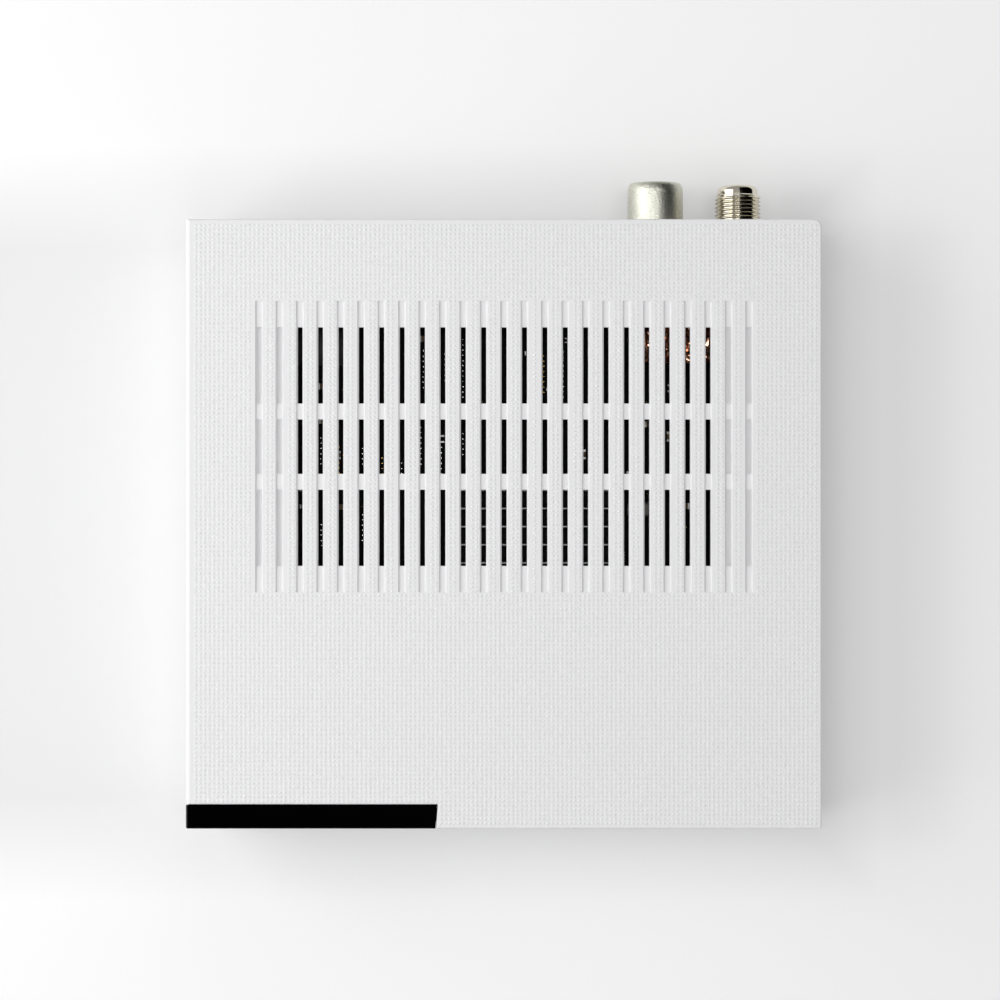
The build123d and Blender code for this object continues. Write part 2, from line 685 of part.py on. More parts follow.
def thermal_pad():
    low = BOARD_TOP + CHIP_RISE
    return block(around(SINK_X, CHIP_SIZE), around(SINK_Y, CHIP_SIZE), (low, low + PAD_THICK))


def heat_sink():
    low = BOARD_TOP + CHIP_RISE + PAD_THICK
    across = around(SINK_X, SINK_WIDTH)
    sink = block(across, around(SINK_Y, SINK_DEPTH), (low, low + SINK_BASE))
    for index in range(FIN_COUNT):
        y = SINK_Y + (index - (FIN_COUNT - 1) / 2) * FIN_PITCH
        sink += block(across, around(y, FIN_THICK), (low + SINK_BASE, FIN_TOP_Z))
    return sink


def left_of_sink(share):
    """A place between the left standoffs and the heat sink, as a share of the way."""
    sink_left = SINK_X - SINK_WIDTH / 2
    return -STANDOFF_X + share * (sink_left + STANDOFF_X)


def memory_chips():
    x = left_of_sink(MEMORY_SHARE)
    apart = (MEMORY_SIZE[1] + MEMORY_GAP) / 2
    return group(on_board(x, SINK_Y + side * apart, *MEMORY_SIZE) for side in (-1, 1))


def flash_chip():
    return on_board(SINK_X + SINK_WIDTH / 2 + FLASH_SIDE_GAP, SINK_Y - FLASH_FORWARD, *FLASH_SIZE)


def inductor_places():
    first = SINK_X - SINK_WIDTH / 2 - INDUCTOR_SIDE_GAP
    return [first + index * INDUCTOR_PITCH for index in range(INDUCTOR_COUNT)]


def inductors():
    return group(on_board(x, BOARD_FRONT_Y + INDUCTOR_INSET, *INDUCTOR_SIZE) for x in inductor_places())


def capacitors():
    """Round cans in line with the inductors, on their right."""
    height = (BOARD_TOP, BOARD_TOP + CAPACITOR_RISE)
    first = inductor_places()[-1] + CAPACITOR_SIDE_GAP
    places = [first + index * CAPACITOR_PITCH for index in range(CAPACITOR_COUNT)]
    return group(post(CAPACITOR_RADIUS, x, BOARD_FRONT_Y + INDUCTOR_INSET, height) for x in places)


def network_transformer():
    y = SOCKET_FACE_Y - NETWORK_SIZE[0] - TRANSFORMER_GAP
    return on_board(port_x("network"), y, *TRANSFORMER_SIZE)


def crystal():
    return on_board(SINK_X + SINK_WIDTH / 2 + CRYSTAL_SIDE_GAP, SINK_Y + CRYSTAL_BACK, *CRYSTAL_SIZE)


# Tuner can and its foil

def tuner_frame():
    across = (CAN_LEFT_X, CAN_RIGHT_X)
    along = (CAN_FRONT_Y, CAN_REAR_Y)
    height = (BOARD_TOP, CAN_TOP_Z)
    walls = block(across, along, height)
    inner_x = (CAN_LEFT_X + CAN_SHEET, CAN_RIGHT_X - CAN_SHEET)
    inner_y = (CAN_FRONT_Y + CAN_SHEET, CAN_REAR_Y - CAN_SHEET)
    return walls - block(inner_x, inner_y, (BOARD_TOP - OVERCUT, CAN_TOP_Z + OVERCUT))


def tuner_lid():
    """A lid on the frame, turned down outside it at the front, the left and the right."""
    reach = FIT_GAP + CAN_SHEET
    across = (CAN_LEFT_X - reach, CAN_RIGHT_X + reach)
    low = CAN_TOP_Z - LID_SKIRT
    lid = block(across, (CAN_FRONT_Y - reach, CAN_REAR_Y), (low, CAN_TOP_Z + CAN_SHEET))
    inner_x = (CAN_LEFT_X - FIT_GAP, CAN_RIGHT_X + FIT_GAP)
    inner_y = (CAN_FRONT_Y - FIT_GAP, CAN_REAR_Y + OVERCUT)
    return lid - block(inner_x, inner_y, (low - OVERCUT, CAN_TOP_Z))


def copper_foil():
    """Foil stuck over the lid and folded down its front."""
    front = CAN_FRONT_Y - FIT_GAP - CAN_SHEET
    top = CAN_TOP_Z + CAN_SHEET
    across = (CAN_LEFT_X, CAN_RIGHT_X)
    sheet = block(across, (front - FOIL_THICK, CAN_REAR_Y - FOIL_REAR_INSET), (top, top + FOIL_THICK))
    return sheet + block(across, (front - FOIL_THICK, front), (top - FOIL_SKIRT, top + FOIL_THICK))


def tuner_chip():
    return on_board((CAN_LEFT_X + CAN_RIGHT_X) / 2, (CAN_FRONT_Y + CAN_REAR_Y) / 2, *TUNER_CHIP_SIZE)


# Aerial socket: a smooth barrel with a rounded nose

def aerial_shell():
    back = CAN_REAR_Y - AERIAL_TIP_Y
    collar = AERIAL_RADIUS + AERIAL_COLLAR
    rim = AERIAL_BORE_RADIUS + AERIAL_NOSE_RIM
    crown_radius = rim + AERIAL_CROWN_OUT * (AERIAL_RADIUS - rim)
    crown = (crown_radius, -AERIAL_CROWN_BACK * AERIAL_NOSE_LENGTH)
    nose = ThreePointArc((rim, 0), crown, (AERIAL_RADIUS, -AERIAL_NOSE_LENGTH))
    body = Polyline(
        (AERIAL_RADIUS, -AERIAL_NOSE_LENGTH),
        (AERIAL_RADIUS, back + SOCKET_COLLAR),
        (collar, back + SOCKET_COLLAR),
        (collar, back),
        (0, back),
        (0, -AERIAL_BORE_DEPTH),
        (AERIAL_BORE_RADIUS, -AERIAL_BORE_DEPTH),
        (AERIAL_BORE_RADIUS, 0),
        (rim, 0),
    )
    return turned(nose + body, AERIAL_X, AERIAL_TIP_Y, SOCKET_AXIS_Z)


def aerial_insulator():
    bottom = AERIAL_TIP_Y - AERIAL_BORE_DEPTH
    radius = AERIAL_BORE_RADIUS - INSULATOR_FIT
    plug = rod(radius, AERIAL_X, (bottom, bottom + AERIAL_BASE), SOCKET_AXIS_Z)
    sleeve = (bottom, AERIAL_TIP_Y - AERIAL_SLEEVE_BACK)
    plug += rod(AERIAL_SLEEVE_RADIUS, AERIAL_X, sleeve, SOCKET_AXIS_Z)
    hole_radius = AERIAL_CONTACT_RADIUS + INSULATOR_FIT
    return plug - rod(hole_radius, AERIAL_X, (bottom - OVERCUT, AERIAL_TIP_Y), SOCKET_AXIS_Z)


def aerial_contact():
    bottom = AERIAL_TIP_Y - AERIAL_BORE_DEPTH
    along = (bottom, AERIAL_TIP_Y - AERIAL_CONTACT_BACK)
    tube = rod(AERIAL_CONTACT_RADIUS, AERIAL_X, along, SOCKET_AXIS_Z)
    hole_radius = AERIAL_CONTACT_RADIUS - AERIAL_CONTACT_WALL
    return tube - rod(hole_radius, AERIAL_X, (bottom + AERIAL_CONTACT_FLOOR, AERIAL_TIP_Y), SOCKET_AXIS_Z)


# F socket: a threaded barrel with a plain rounded nose

def f_body():
    back = CAN_REAR_Y - F_TIP_Y
    corner = F_NOSE_RADIUS - F_NOSE_ROUND
    half = F_NOSE_ROUND * 0.5 ** 0.5
    crown = (corner + half, half - F_NOSE_ROUND)
    nose = ThreePointArc((corner, 0), crown, (F_NOSE_RADIUS, -F_NOSE_ROUND))
    neck = SOCKET_FACE_Y - F_TIP_Y
    collar = F_NECK_RADIUS + F_COLLAR
    body = Polyline(
        (F_NOSE_RADIUS, -F_NOSE_ROUND),
        (F_NOSE_RADIUS, -F_NOSE_LENGTH),
        (F_THREAD_RADIUS, -F_NOSE_LENGTH - F_LEAD_IN),
        (F_THREAD_RADIUS, neck),
        (F_NECK_RADIUS, neck),
        (F_NECK_RADIUS, back + SOCKET_COLLAR),
        (collar, back + SOCKET_COLLAR),
        (collar, back),
        (0, back),
        (0, -F_BORE_DEPTH),
        (F_BORE_RADIUS, -F_BORE_DEPTH),
        (F_BORE_RADIUS, 0),
        (corner, 0),
    )
    return turned(nose + body, F_X, F_TIP_Y, SOCKET_AXIS_Z)


def f_insulator():
    bottom = F_TIP_Y - F_BORE_DEPTH
    along = (bottom, F_TIP_Y - F_INSULATOR_BACK)
    plug = rod(F_BORE_RADIUS - INSULATOR_FIT, F_X, along, SOCKET_AXIS_Z)
    hole = (bottom + F_CONTACT_ROOT, F_TIP_Y)
    return plug - rod(F_CONTACT_RADIUS + INSULATOR_FIT, F_X, hole, SOCKET_AXIS_Z)


def f_contact():
    bottom = F_TIP_Y - F_BORE_DEPTH + F_CONTACT_ROOT
    return rod(F_CONTACT_RADIUS, F_X, (bottom, F_TIP_Y - F_CONTACT_BACK), SOCKET_AXIS_Z)


# Power jack

def power_jack():
    depth, rise = POWER_SIZE
    x = port_x("power")
    along = (SOCKET_FACE_Y - depth, SOCKET_FACE_Y)
    body = block(around(x, PORT_WIDTHS["power"]), along, (BOARD_TOP, BOARD_TOP + rise))
    bore = (SOCKET_FACE_Y - POWER_BORE_DEPTH, SOCKET_FACE_Y + OVERCUT)
    return body - rod(POWER_BORE_RADIUS, x, bore, BOARD_TOP + rise / 2)


def power_pin():
    along = (SOCKET_FACE_Y - POWER_BORE_DEPTH, SOCKET_FACE_Y - POWER_PIN_BACK)
    return rod(POWER_PIN_RADIUS, port_x("power"), along, BOARD_TOP + POWER_SIZE[1] / 2)


# Network socket

def network_room():
    """The hole for the plug: a wide part with a narrower one below it for the catch."""
    x = port_x("network")
    along = (SOCKET_FACE_Y - NETWORK_DEPTH, SOCKET_FACE_Y + OVERCUT)
    low = BOARD_TOP + CATCH_FLOOR
    middle = low + CATCH_RISE
    wide = block(around(x, PLUG_WIDTH), along, (middle, middle + PLUG_RISE))
    catch = block(around(x, CATCH_WIDTH), along, (low, middle + PLUG_RISE / 2))
    return wide + catch


def network_housing():
    depth, rise = NETWORK_SIZE
    width = PORT_WIDTHS["network"] - 2 * NETWORK_SHEET
    along = (SOCKET_FACE_Y - depth, SOCKET_FACE_Y)
    body = block(around(port_x("network"), width), along, (BOARD_TOP, BOARD_TOP + rise - NETWORK_SHEET))
    return body - network_room()


def network_shield():
    """A metal sheet bent over the top and both sides of the housing."""
    depth, rise = NETWORK_SIZE
    width = PORT_WIDTHS["network"]
    x = port_x("network")
    along = (SOCKET_FACE_Y - depth, SOCKET_FACE_Y)
    sheet = block(around(x, width), along, (BOARD_TOP, BOARD_TOP + rise))
    inner = around(x, width - 2 * NETWORK_SHEET)
    inner_y = (SOCKET_FACE_Y - depth - OVERCUT, SOCKET_FACE_Y + OVERCUT)
    return sheet - block(inner, inner_y, (BOARD_TOP - OVERCUT, BOARD_TOP + rise - NETWORK_SHEET))


def network_contacts():
    back = SOCKET_FACE_Y - NETWORK_DEPTH
    height = around(BOARD_TOP + WIRE_RISE, WIRE_THICK)
    first = port_x("network") - (WIRE_COUNT - 1) / 2 * WIRE_PITCH
    wires = []
    for index in range(WIRE_COUNT):
        across = around(first + index * WIRE_PITCH, WIRE_THICK)
        wires.append(block(across, (back, back + WIRE_LENGTH), height))
    return group(wires)


# USB and HDMI sockets: a sheet shell round a plastic tongue

def usb_shell():
    depth, rise = USB_SIZE
    x = port_x("usb")
    width = PORT_WIDTHS["usb"]
    along = (SOCKET_FACE_Y - depth, SOCKET_FACE_Y)
    tube = block(around(x, width), along, (BOARD_TOP, BOARD_TOP + rise))
    inner_y = (SOCKET_FACE_Y - depth - OVERCUT, SOCKET_FACE_Y + OVERCUT)
    inner_z = (BOARD_TOP + SHELL_SHEET, BOARD_TOP + rise - SHELL_SHEET)
    return tube - block(around(x, width - 2 * SHELL_SHEET), inner_y, inner_z)


def usb_tongue():
    depth, rise = USB_SIZE
    x = port_x("usb")
    back = SOCKET_FACE_Y - depth
    inner_z = (BOARD_TOP + SHELL_SHEET, BOARD_TOP + rise - SHELL_SHEET)
    base = block(around(x, PORT_WIDTHS["usb"] - 2 * SHELL_SHEET), (back, back + USB_BASE), inner_z)
    width, thick = USB_TONGUE_SIZE
    top = inner_z[1] - USB_TONGUE_DROP
    return base + block(around(x, width), (back, SOCKET_FACE_Y - USB_TONGUE_BACK), (top - thick, top))


def hdmi_outline(inset):
    """The socket's outline seen from the rear: square above, slanted in below."""
    half = PORT_WIDTHS["hdmi"] / 2 - inset
    rise = HDMI_SIZE[1] - 2 * inset
    shoulder = rise * HDMI_SHOULDER_SHARE
    left = [(-half, rise), (-half, shoulder), (HDMI_SLANT - half, 0)]
    right = [(half - HDMI_SLANT, 0), (half, shoulder), (half, rise)]
    return make_face(Polyline(*left, *right, close=True))


def hdmi_prism(inset, along):
    low, high = along
    place = Pos(port_x("hdmi"), high, BOARD_TOP + inset)
    return place * extrude(Plane.XZ * hdmi_outline(inset), high - low)


def hdmi_shell():
    back = SOCKET_FACE_Y - HDMI_SIZE[0]
    inside = hdmi_prism(SHELL_SHEET, (back - OVERCUT, SOCKET_FACE_Y + OVERCUT))
    return hdmi_prism(0, (back, SOCKET_FACE_Y)) - inside


def hdmi_tongue():
    back = SOCKET_FACE_Y - HDMI_SIZE[0]
    width, thick = HDMI_TONGUE_SIZE
    height = around(BOARD_TOP + HDMI_SIZE[1] * HDMI_TONGUE_SHARE, thick)
    tongue = block(around(port_x("hdmi"), width), (back, SOCKET_FACE_Y - HDMI_TONGUE_BACK), height)
    return hdmi_prism(SHELL_SHEET, (back, back + HDMI_BASE)) + tongue


# Optical socket with a dust flap hinged at the top of its hole

def optical_z():
    """The bottom and the top of the hole."""
    return around(BOARD_TOP + OPTICAL_SIZE[1] / 2, OPTICAL_HOLE)


def flap_axis():
    return (SOCKET_FACE_Y - FLAP_SET_BACK, optical_z()[1] - FLAP_KNUCKLE_RADIUS - FLAP_TOP_GAP)


def optical_body():
    depth, rise = OPTICAL_SIZE
    x = port_x("optical")
    along = (SOCKET_FACE_Y - depth, SOCKET_FACE_Y)
    body = block(around(x, PORT_WIDTHS["optical"]), along, (BOARD_TOP, BOARD_TOP + rise))
    hole_y = (SOCKET_FACE_Y - OPTICAL_DEPTH, SOCKET_FACE_Y + OVERCUT)
    body -= block(around(x, OPTICAL_HOLE), hole_y, optical_z())
    axis_y, axis_z = flap_axis()
    across = around(x, OPTICAL_HOLE + 2 * (FLAP_PIN_REACH + FLAP_PIN_SPARE))
    return body - cross_rod(FLAP_PIN_RADIUS + FLAP_PIN_FIT, across, axis_y, axis_z)


def optical_emitter():
    back = SOCKET_FACE_Y - OPTICAL_DEPTH
    return rod(EMITTER_RADIUS, port_x("optical"), (back, back + EMITTER_LENGTH), sum(optical_z()) / 2)


def optical_flap():
    x = port_x("optical")
    axis_y, axis_z = flap_axis()
    across = around(x, OPTICAL_HOLE - 2 * FLAP_SIDE_GAP)
    plate = block(across, around(axis_y, FLAP_THICK), (optical_z()[0] + FLAP_BOTTOM_GAP, axis_z))
    plate += cross_rod(FLAP_KNUCKLE_RADIUS, across, axis_y, axis_z)
    return plate + cross_rod(FLAP_PIN_RADIUS, around(x, OPTICAL_HOLE + 2 * FLAP_PIN_REACH), axis_y, axis_z)


# Front board and what it carries

def front_board():
    return block(FRONT_BOARD_X, (FRONT_BOARD_Y, FRONT_BOARD_REAR_Y), FRONT_BOARD_Z)


def board_header():
    width, depth, rise = HEADER_SIZE
    along = (FRONT_BOARD_REAR_Y, BOARD_FRONT_Y + depth)
    return block(around(DISPLAY_X, width), along, (BOARD_TOP, BOARD_TOP + rise))


def display():
    along = (FRONT_BOARD_Y - DISPLAY_THICK, FRONT_BOARD_Y)
    return block(around(DISPLAY_X, DISPLAY_WIDTH), along, around(DISPLAY_Z, DISPLAY_RISE))


def receiver():
    width, thick, rise = RECEIVER_SIZE
    face_y = FRONT_BOARD_Y - thick
    body = block(around(RECEIVER_X, width), (face_y, FRONT_BOARD_Y), around(DISPLAY_Z, rise))
    lens = rod(LENS_RADIUS, RECEIVER_X, (face_y - LENS_RISE, face_y + ROOT), DISPLAY_Z)
    return body + chamfer(lens.edges().sort_by(Axis.Y)[0], LENS_CHAMFER)


def status_light():
    body = rod(LIGHT_RADIUS, LIGHT_X, (FRONT_BOARD_Y - LIGHT_LENGTH, FRONT_BOARD_Y), DISPLAY_Z)
    body = chamfer(body.edges().sort_by(Axis.Y)[0], LIGHT_CHAMFER)
    rim = (FRONT_BOARD_Y - LIGHT_RIM_THICK, FRONT_BOARD_Y)
    return body + rod(LIGHT_RIM_RADIUS, LIGHT_X, rim, DISPLAY_Z)


def switch_body():
    depth = (SWITCH_FACE_Y, FRONT_BOARD_Y)
    body = block(around(BUTTON_X, SWITCH_SIZE), depth, around(BUTTON_Z, SWITCH_SIZE))
    well = (SWITCH_FACE_Y - OVERCUT, SWITCH_FACE_Y + PLUNGER_ROOT + BUTTON_TRAVEL + PLUNGER_SPARE)
    return body - rod(PLUNGER_RADIUS + PLUNGER_FIT, BUTTON_X, well, BUTTON_Z)


def switch_plunger():
    return rod(PLUNGER_RADIUS, BUTTON_X, (PLUNGER_TIP_Y, SWITCH_FACE_Y + PLUNGER_ROOT), BUTTON_Z)


def standby_button():
    """A cap flush with the case front, a flange behind the wall and a stem to the switch."""
    inner_y = WALL - HALF_D
    cap = rod(BUTTON_RADIUS, BUTTON_X, (-HALF_D, inner_y), BUTTON_Z)
    cap = chamfer(cap.edges().sort_by(Axis.Y)[0], BUTTON_CHAMFER)
    flange = (inner_y, inner_y + BUTTON_FLANGE_THICK)
    cap += rod(BUTTON_RADIUS + BUTTON_FLANGE, BUTTON_X, flange, BUTTON_Z)
    return cap + rod(BUTTON_STEM_RADIUS, BUTTON_X, (inner_y, PLUNGER_TIP_Y), BUTTON_Z)


PIECES = [
    top_cover, base_tray, rear_panel, front_window, standby_button, rubber_feet, case_screws,
    main_board, board_screws, system_chip, thermal_pad, heat_sink, memory_chips, flash_chip,
    capacitors, inductors, network_transformer, crystal, tuner_frame, tuner_lid, copper_foil,
    tuner_chip, aerial_shell, aerial_insulator, aerial_contact, f_body, f_insulator, f_contact,
    power_jack, power_pin, network_housing, network_shield, network_contacts, usb_shell,
    usb_tongue, hdmi_shell, hdmi_tongue, optical_body, optical_emitter, optical_flap,
    front_board, board_header, display, receiver, status_light, switch_body, switch_plunger,
]

os.makedirs("parts", exist_ok=True)
for make in PIECES:
    piece = Pos(0, ORIGIN_SHIFT, 0) * make()
    export_step(piece, f"parts/{make.__name__}.step")
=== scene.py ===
import math
import random

import bmesh
import bpy
from bpy.props import FloatProperty, FloatVectorProperty, IntProperty, PointerProperty
from mathutils import Matrix, Vector, noise
from mathutils.bvhtree import BVHTree


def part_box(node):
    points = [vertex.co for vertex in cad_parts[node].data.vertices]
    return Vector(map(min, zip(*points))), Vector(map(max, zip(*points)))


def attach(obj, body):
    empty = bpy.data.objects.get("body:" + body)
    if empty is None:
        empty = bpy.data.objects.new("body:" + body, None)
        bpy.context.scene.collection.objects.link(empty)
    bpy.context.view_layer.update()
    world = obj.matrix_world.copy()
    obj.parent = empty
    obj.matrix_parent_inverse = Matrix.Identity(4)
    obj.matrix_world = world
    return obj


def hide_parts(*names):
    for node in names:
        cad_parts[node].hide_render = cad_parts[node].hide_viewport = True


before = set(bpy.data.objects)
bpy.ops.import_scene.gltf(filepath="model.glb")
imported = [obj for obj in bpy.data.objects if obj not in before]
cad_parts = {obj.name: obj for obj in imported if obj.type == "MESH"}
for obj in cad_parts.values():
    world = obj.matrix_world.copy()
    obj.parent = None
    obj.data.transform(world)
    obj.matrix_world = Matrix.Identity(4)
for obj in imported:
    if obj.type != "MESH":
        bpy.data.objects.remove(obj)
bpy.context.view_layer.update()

bl_info = {
    "name": "Set-top box dressing",
    "version": (1, 0, 0),
    "blender": (4, 5, 0),
    "location": "3D View > Sidebar > Set-top box",
    "description": "Gives a packed television set-top box its plastics, metals and small parts",
    "category": "Object",
}

MM = 0.001
RIGHTWARD = Vector((1, 0, 0))
REARWARD = Vector((0, 1, 0))
UP = Vector((0, 0, 1))
SAME_PLACE = 0.0005 * MM
SAME_LEVEL = 0.01 * MM
COVER_LOW, COVER_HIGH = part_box("top_cover")
BOARD_LOW, BOARD_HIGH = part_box("main_board")
SINK_LOW, SINK_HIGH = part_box("heat_sink")
CASE_MIDDLE = sum(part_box("base_tray"), Vector()) / 2


# Colours

def linear(code):
    """A linear colour from an sRGB hex code."""
    parts = [int(code[start:start + 2], 16) / 255 for start in (1, 3, 5)]
    return [part / 12.92 if part <= 0.04045 else ((part + 0.055) / 1.055) ** 2.4 for part in parts]


def shaded(colour, factor):
    """A linear colour made darker or lighter by a factor."""
    return [min(1.0, part * factor) for part in colour]


def rgba(colour):
    """A hex code or a linear colour with full opacity, as the colour sockets take it."""
    return (*(linear(colour) if isinstance(colour, str) else colour), 1.0)


# Sizes and colours that a user may change

class SetTopBoxSizes(bpy.types.PropertyGroup):
    grid_pitch: FloatProperty(
        name="Grid pitch", description="Spacing of the fine moulded grid on the cover",
        default=0.9 * MM, unit="LENGTH", precision=5,
    )
    pip_radius: FloatProperty(
        name="Pip radius", description="Radius at the foot of each pip of the grid",
        default=0.37 * MM, unit="LENGTH", precision=5,
    )
    pip_height: FloatProperty(
        name="Pip height", description="Height of each pip of the grid above the flat of the cover",
        default=0.17 * MM, unit="LENGTH", precision=6,
    )
    thread_pitch: FloatProperty(
        name="Thread pitch", description="Distance between the turns of the F socket's thread",
        default=25.4 / 32 * MM, unit="LENGTH", precision=6,
    )
    thread_depth: FloatProperty(
        name="Thread depth", description="Height of the thread above its core",
        default=0.43 * MM, unit="LENGTH", precision=6,
    )
    foil_crease: FloatProperty(
        name="Foil crease", description="Width of the larger folds of the crumpled foil",
        default=2.6 * MM, unit="LENGTH", precision=5,
    )
    foil_lift: FloatProperty(
        name="Foil lift", description="How far the folds of the foil rise from the lid",
        default=1.2 * MM, unit="LENGTH", precision=6,
    )
    small_part_seed: IntProperty(
        name="Small part seed", description="Start of the layout of the small parts on the board",
        default=11,
    )


class SetTopBoxColours(bpy.types.PropertyGroup):
    case_white: FloatVectorProperty(
        name="Case white", description="Colour of the moulded white case",
        subtype="COLOR", min=0, max=1, default=linear("#EDEDEE"),
    )
    window_black: FloatVectorProperty(
        name="Window black", description="Colour of the glossy front window",
        subtype="COLOR", min=0, max=1, default=linear("#020203"),
    )
    foil_copper: FloatVectorProperty(
        name="Foil copper", description="Colour of the copper foil over the tuner",
        subtype="COLOR", min=0, max=1, default=linear("#F2B99B"),
    )
    board_mask: FloatVectorProperty(
        name="Board mask", description="Colour of the solder mask on the boards",
        subtype="COLOR", min=0, max=1, default=linear("#060A08"),
    )
    floor_white: FloatVectorProperty(
        name="Floor white", description="Colour of the pale floor",
        subtype="COLOR", min=0, max=1, default=linear("#ECECEC"),
    )


def sizes():
    return bpy.context.scene.set_top_box_sizes


def colours():
    return bpy.context.scene.set_top_box_colours


# Materials

# Sockets of a Mix node that mixes colours
MIX_SHARE, MIX_FROM, MIX_TO = 0, 6, 7
MIXED = 2


def add_node(material, kind, settings=None, links=None):
    """Adds a node. Settings name a property or an input, and links name an input and what feeds it."""
    node = material.node_tree.nodes.new(kind)
    for key, value in (settings or {}).items():
        if isinstance(key, str) and hasattr(node, key):
            setattr(node, key, value)
        else:
            node.inputs[key].default_value = value
    for key, output in (links or {}).items():
        material.node_tree.links.new(output, node.inputs[key])
    return node


def feed(material, socket, output):
    """Links an output to a socket of the material's shader."""
    shader = material.node_tree.nodes["Principled BSDF"]
    material.node_tree.links.new(output, shader.inputs[socket])


def surface(name, dark, light, grain, rough, relief, **sockets):
    """A material whose colour, gloss and relief follow one grain. Grain and relief are real sizes in mm."""
    material = bpy.data.materials.new(name)
    material.use_nodes = True
    shader = material.node_tree.nodes["Principled BSDF"]
    for socket, value in sockets.items():
        shader.inputs[socket.replace("_", " ")].default_value = value
    place = add_node(material, "ShaderNodeTexCoord", {"name": "place"})
    grit = add_node(
        material, "ShaderNodeTexNoise", {"Scale": 1 / (grain * MM), "Detail": 4.0, "Roughness": 0.6},
        {"Vector": place.outputs["Object"]},
    )
    colouring = {"name": "tint", "data_type": "RGBA", MIX_FROM: rgba(dark), MIX_TO: rgba(light)}
    tint = add_node(material, "ShaderNodeMix", colouring, {MIX_SHARE: grit.outputs[0]})
    gloss = add_node(
        material, "ShaderNodeMapRange", {"To Min": rough[0], "To Max": rough[1]}, {0: grit.outputs[0]},
    )
    bump = add_node(material, "ShaderNodeBump", {"Distance": relief * MM}, {"Height": grit.outputs[0]})
    feed(material, "Base Color", tint.outputs[MIXED])
    feed(material, "Roughness", gloss.outputs[0])
    feed(material, "Normal", bump.outputs[0])
    return material


def white_abs_moulded():
    """White ABS from a fine spark-eroded mould: an even satin white, a little uneven in its gloss."""
    white = colours().case_white
    return surface(
        "white_abs_moulded", shaded(white, 0.985), white,
        grain=0.35, rough=(0.46, 0.58), relief=0.004, IOR=1.53,
    )


def white_abs_polished():
    """The same ABS where it filled smooth pits of the mould: glossier, so that each pip catches the lamp."""
    white = colours().case_white
    return surface(
        "white_abs_polished", shaded(white, 0.99), white,
        grain=0.35, rough=(0.2, 0.28), relief=0.001, IOR=1.53,
    )


def smoked_acrylic_gloss():
    """Black acrylic from a polished mould: deep black, with sharp reflections and faint wiping marks."""
    black = colours().window_black
    return surface(
        "smoked_acrylic_gloss", shaded(black, 0.7), black,
        grain=9, rough=(0.03, 0.06), relief=0.001, IOR=1.49,
    )


def rubber_moulded():
    """Dark grey moulded rubber: matt, with a fine dusty grain."""
    return surface("rubber_moulded", "#1B1B1C", "#262627", grain=0.4, rough=(0.78, 0.92), relief=0.012)


def zinc_plated_steel():
    """Screw steel with bright zinc: silvery, with slightly blotchy gloss."""
    return surface(
        "zinc_plated_steel", "#9C9CA0", "#BDBDC2",
        grain=0.5, rough=(0.25, 0.42), relief=0.004, Metallic=1.0,
    )


def nickel_plated_sheet():
    """Pressed steel sheet with dull nickel: grey, with a faint, slightly blotchy grain."""
    return surface(
        "nickel_plated_sheet", "#9A9894", "#B7B4AE",
        grain=0.6, rough=(0.24, 0.38), relief=0.003, Metallic=1.0,
    )


def bright_nickel_turned():
    """Turned brass with bright nickel: mirror-like, with only a trace of grain."""
    return surface(
        "bright_nickel_turned", "#CFC9B8", "#EAE5D6",
        grain=0.3, rough=(0.07, 0.16), relief=0.002, Metallic=1.0,
    )


def satin_tin_cast():
    """Die-cast zinc with satin tin: soft wide highlights over a visible grain."""
    return surface(
        "satin_tin_cast", "#B4B4A6", "#F0F0E4", grain=0.5, rough=(0.26, 0.42), relief=0.12, Metallic=1.0,
    )


def tinned_steel_sheet():
    """Tinned steel sheet of the tuner can: pale grey and a little cloudy."""
    return surface(
        "tinned_steel_sheet", "#A8A8A6", "#C6C6C2",
        grain=2.0, rough=(0.22, 0.36), relief=0.004, Metallic=1.0,
    )


def reflowed_solder(name, dark, light):
    """Solder that has run and set: mirror-bright, so that each point catches the light as a spark."""
    return surface(name, dark, light, grain=0.4, rough=(0.04, 0.09), relief=0.0005, Metallic=1.0)


def gold_flash_contact():
    """Thin gold over nickel on the contacts: warm and bright."""
    return surface(
        "gold_flash_contact", "#C89B3C", "#E6C067",
        grain=0.5, rough=(0.16, 0.28), relief=0.001, Metallic=1.0,
    )


def copper_foil_crumpled():
    """Bare copper tape: sharp pink glints on the folds, and browner where it was handled."""
    copper = colours().foil_copper
    return surface(
        "copper_foil_crumpled", shaded(copper, 0.45), copper,
        grain=1.6, rough=(0.12, 0.2), relief=0.004, Metallic=1.0,
    )


def black_anodised_aluminium():
    """Extruded aluminium, anodised black, with the tips of the fins sawn bare and bright."""
    bare_depth = 0.05 * MM
    material = surface(
        "black_anodised_aluminium", "#0E0E10", "#18181A",
        grain=0.5, rough=(0.4, 0.55), relief=0.006, Specular_IOR_Level=0.2,
    )
    nodes = material.node_tree.nodes
    split = add_node(material, "ShaderNodeSeparateXYZ", None, {0: nodes["place"].outputs["Object"]})
    bare = add_node(
        material, "ShaderNodeMath", {"operation": "GREATER_THAN", 1: SINK_HIGH.z - bare_depth},
        {0: split.outputs["Z"]},
    )
    tint = add_node(
        material, "ShaderNodeMix", {"data_type": "RGBA", MIX_TO: rgba("#D9D9DA")},
        {MIX_SHARE: bare.outputs[0], MIX_FROM: nodes["tint"].outputs[MIXED]},
    )
    feed(material, "Base Color", tint.outputs[MIXED])
    feed(material, "Metallic", bare.outputs[0])
    return material


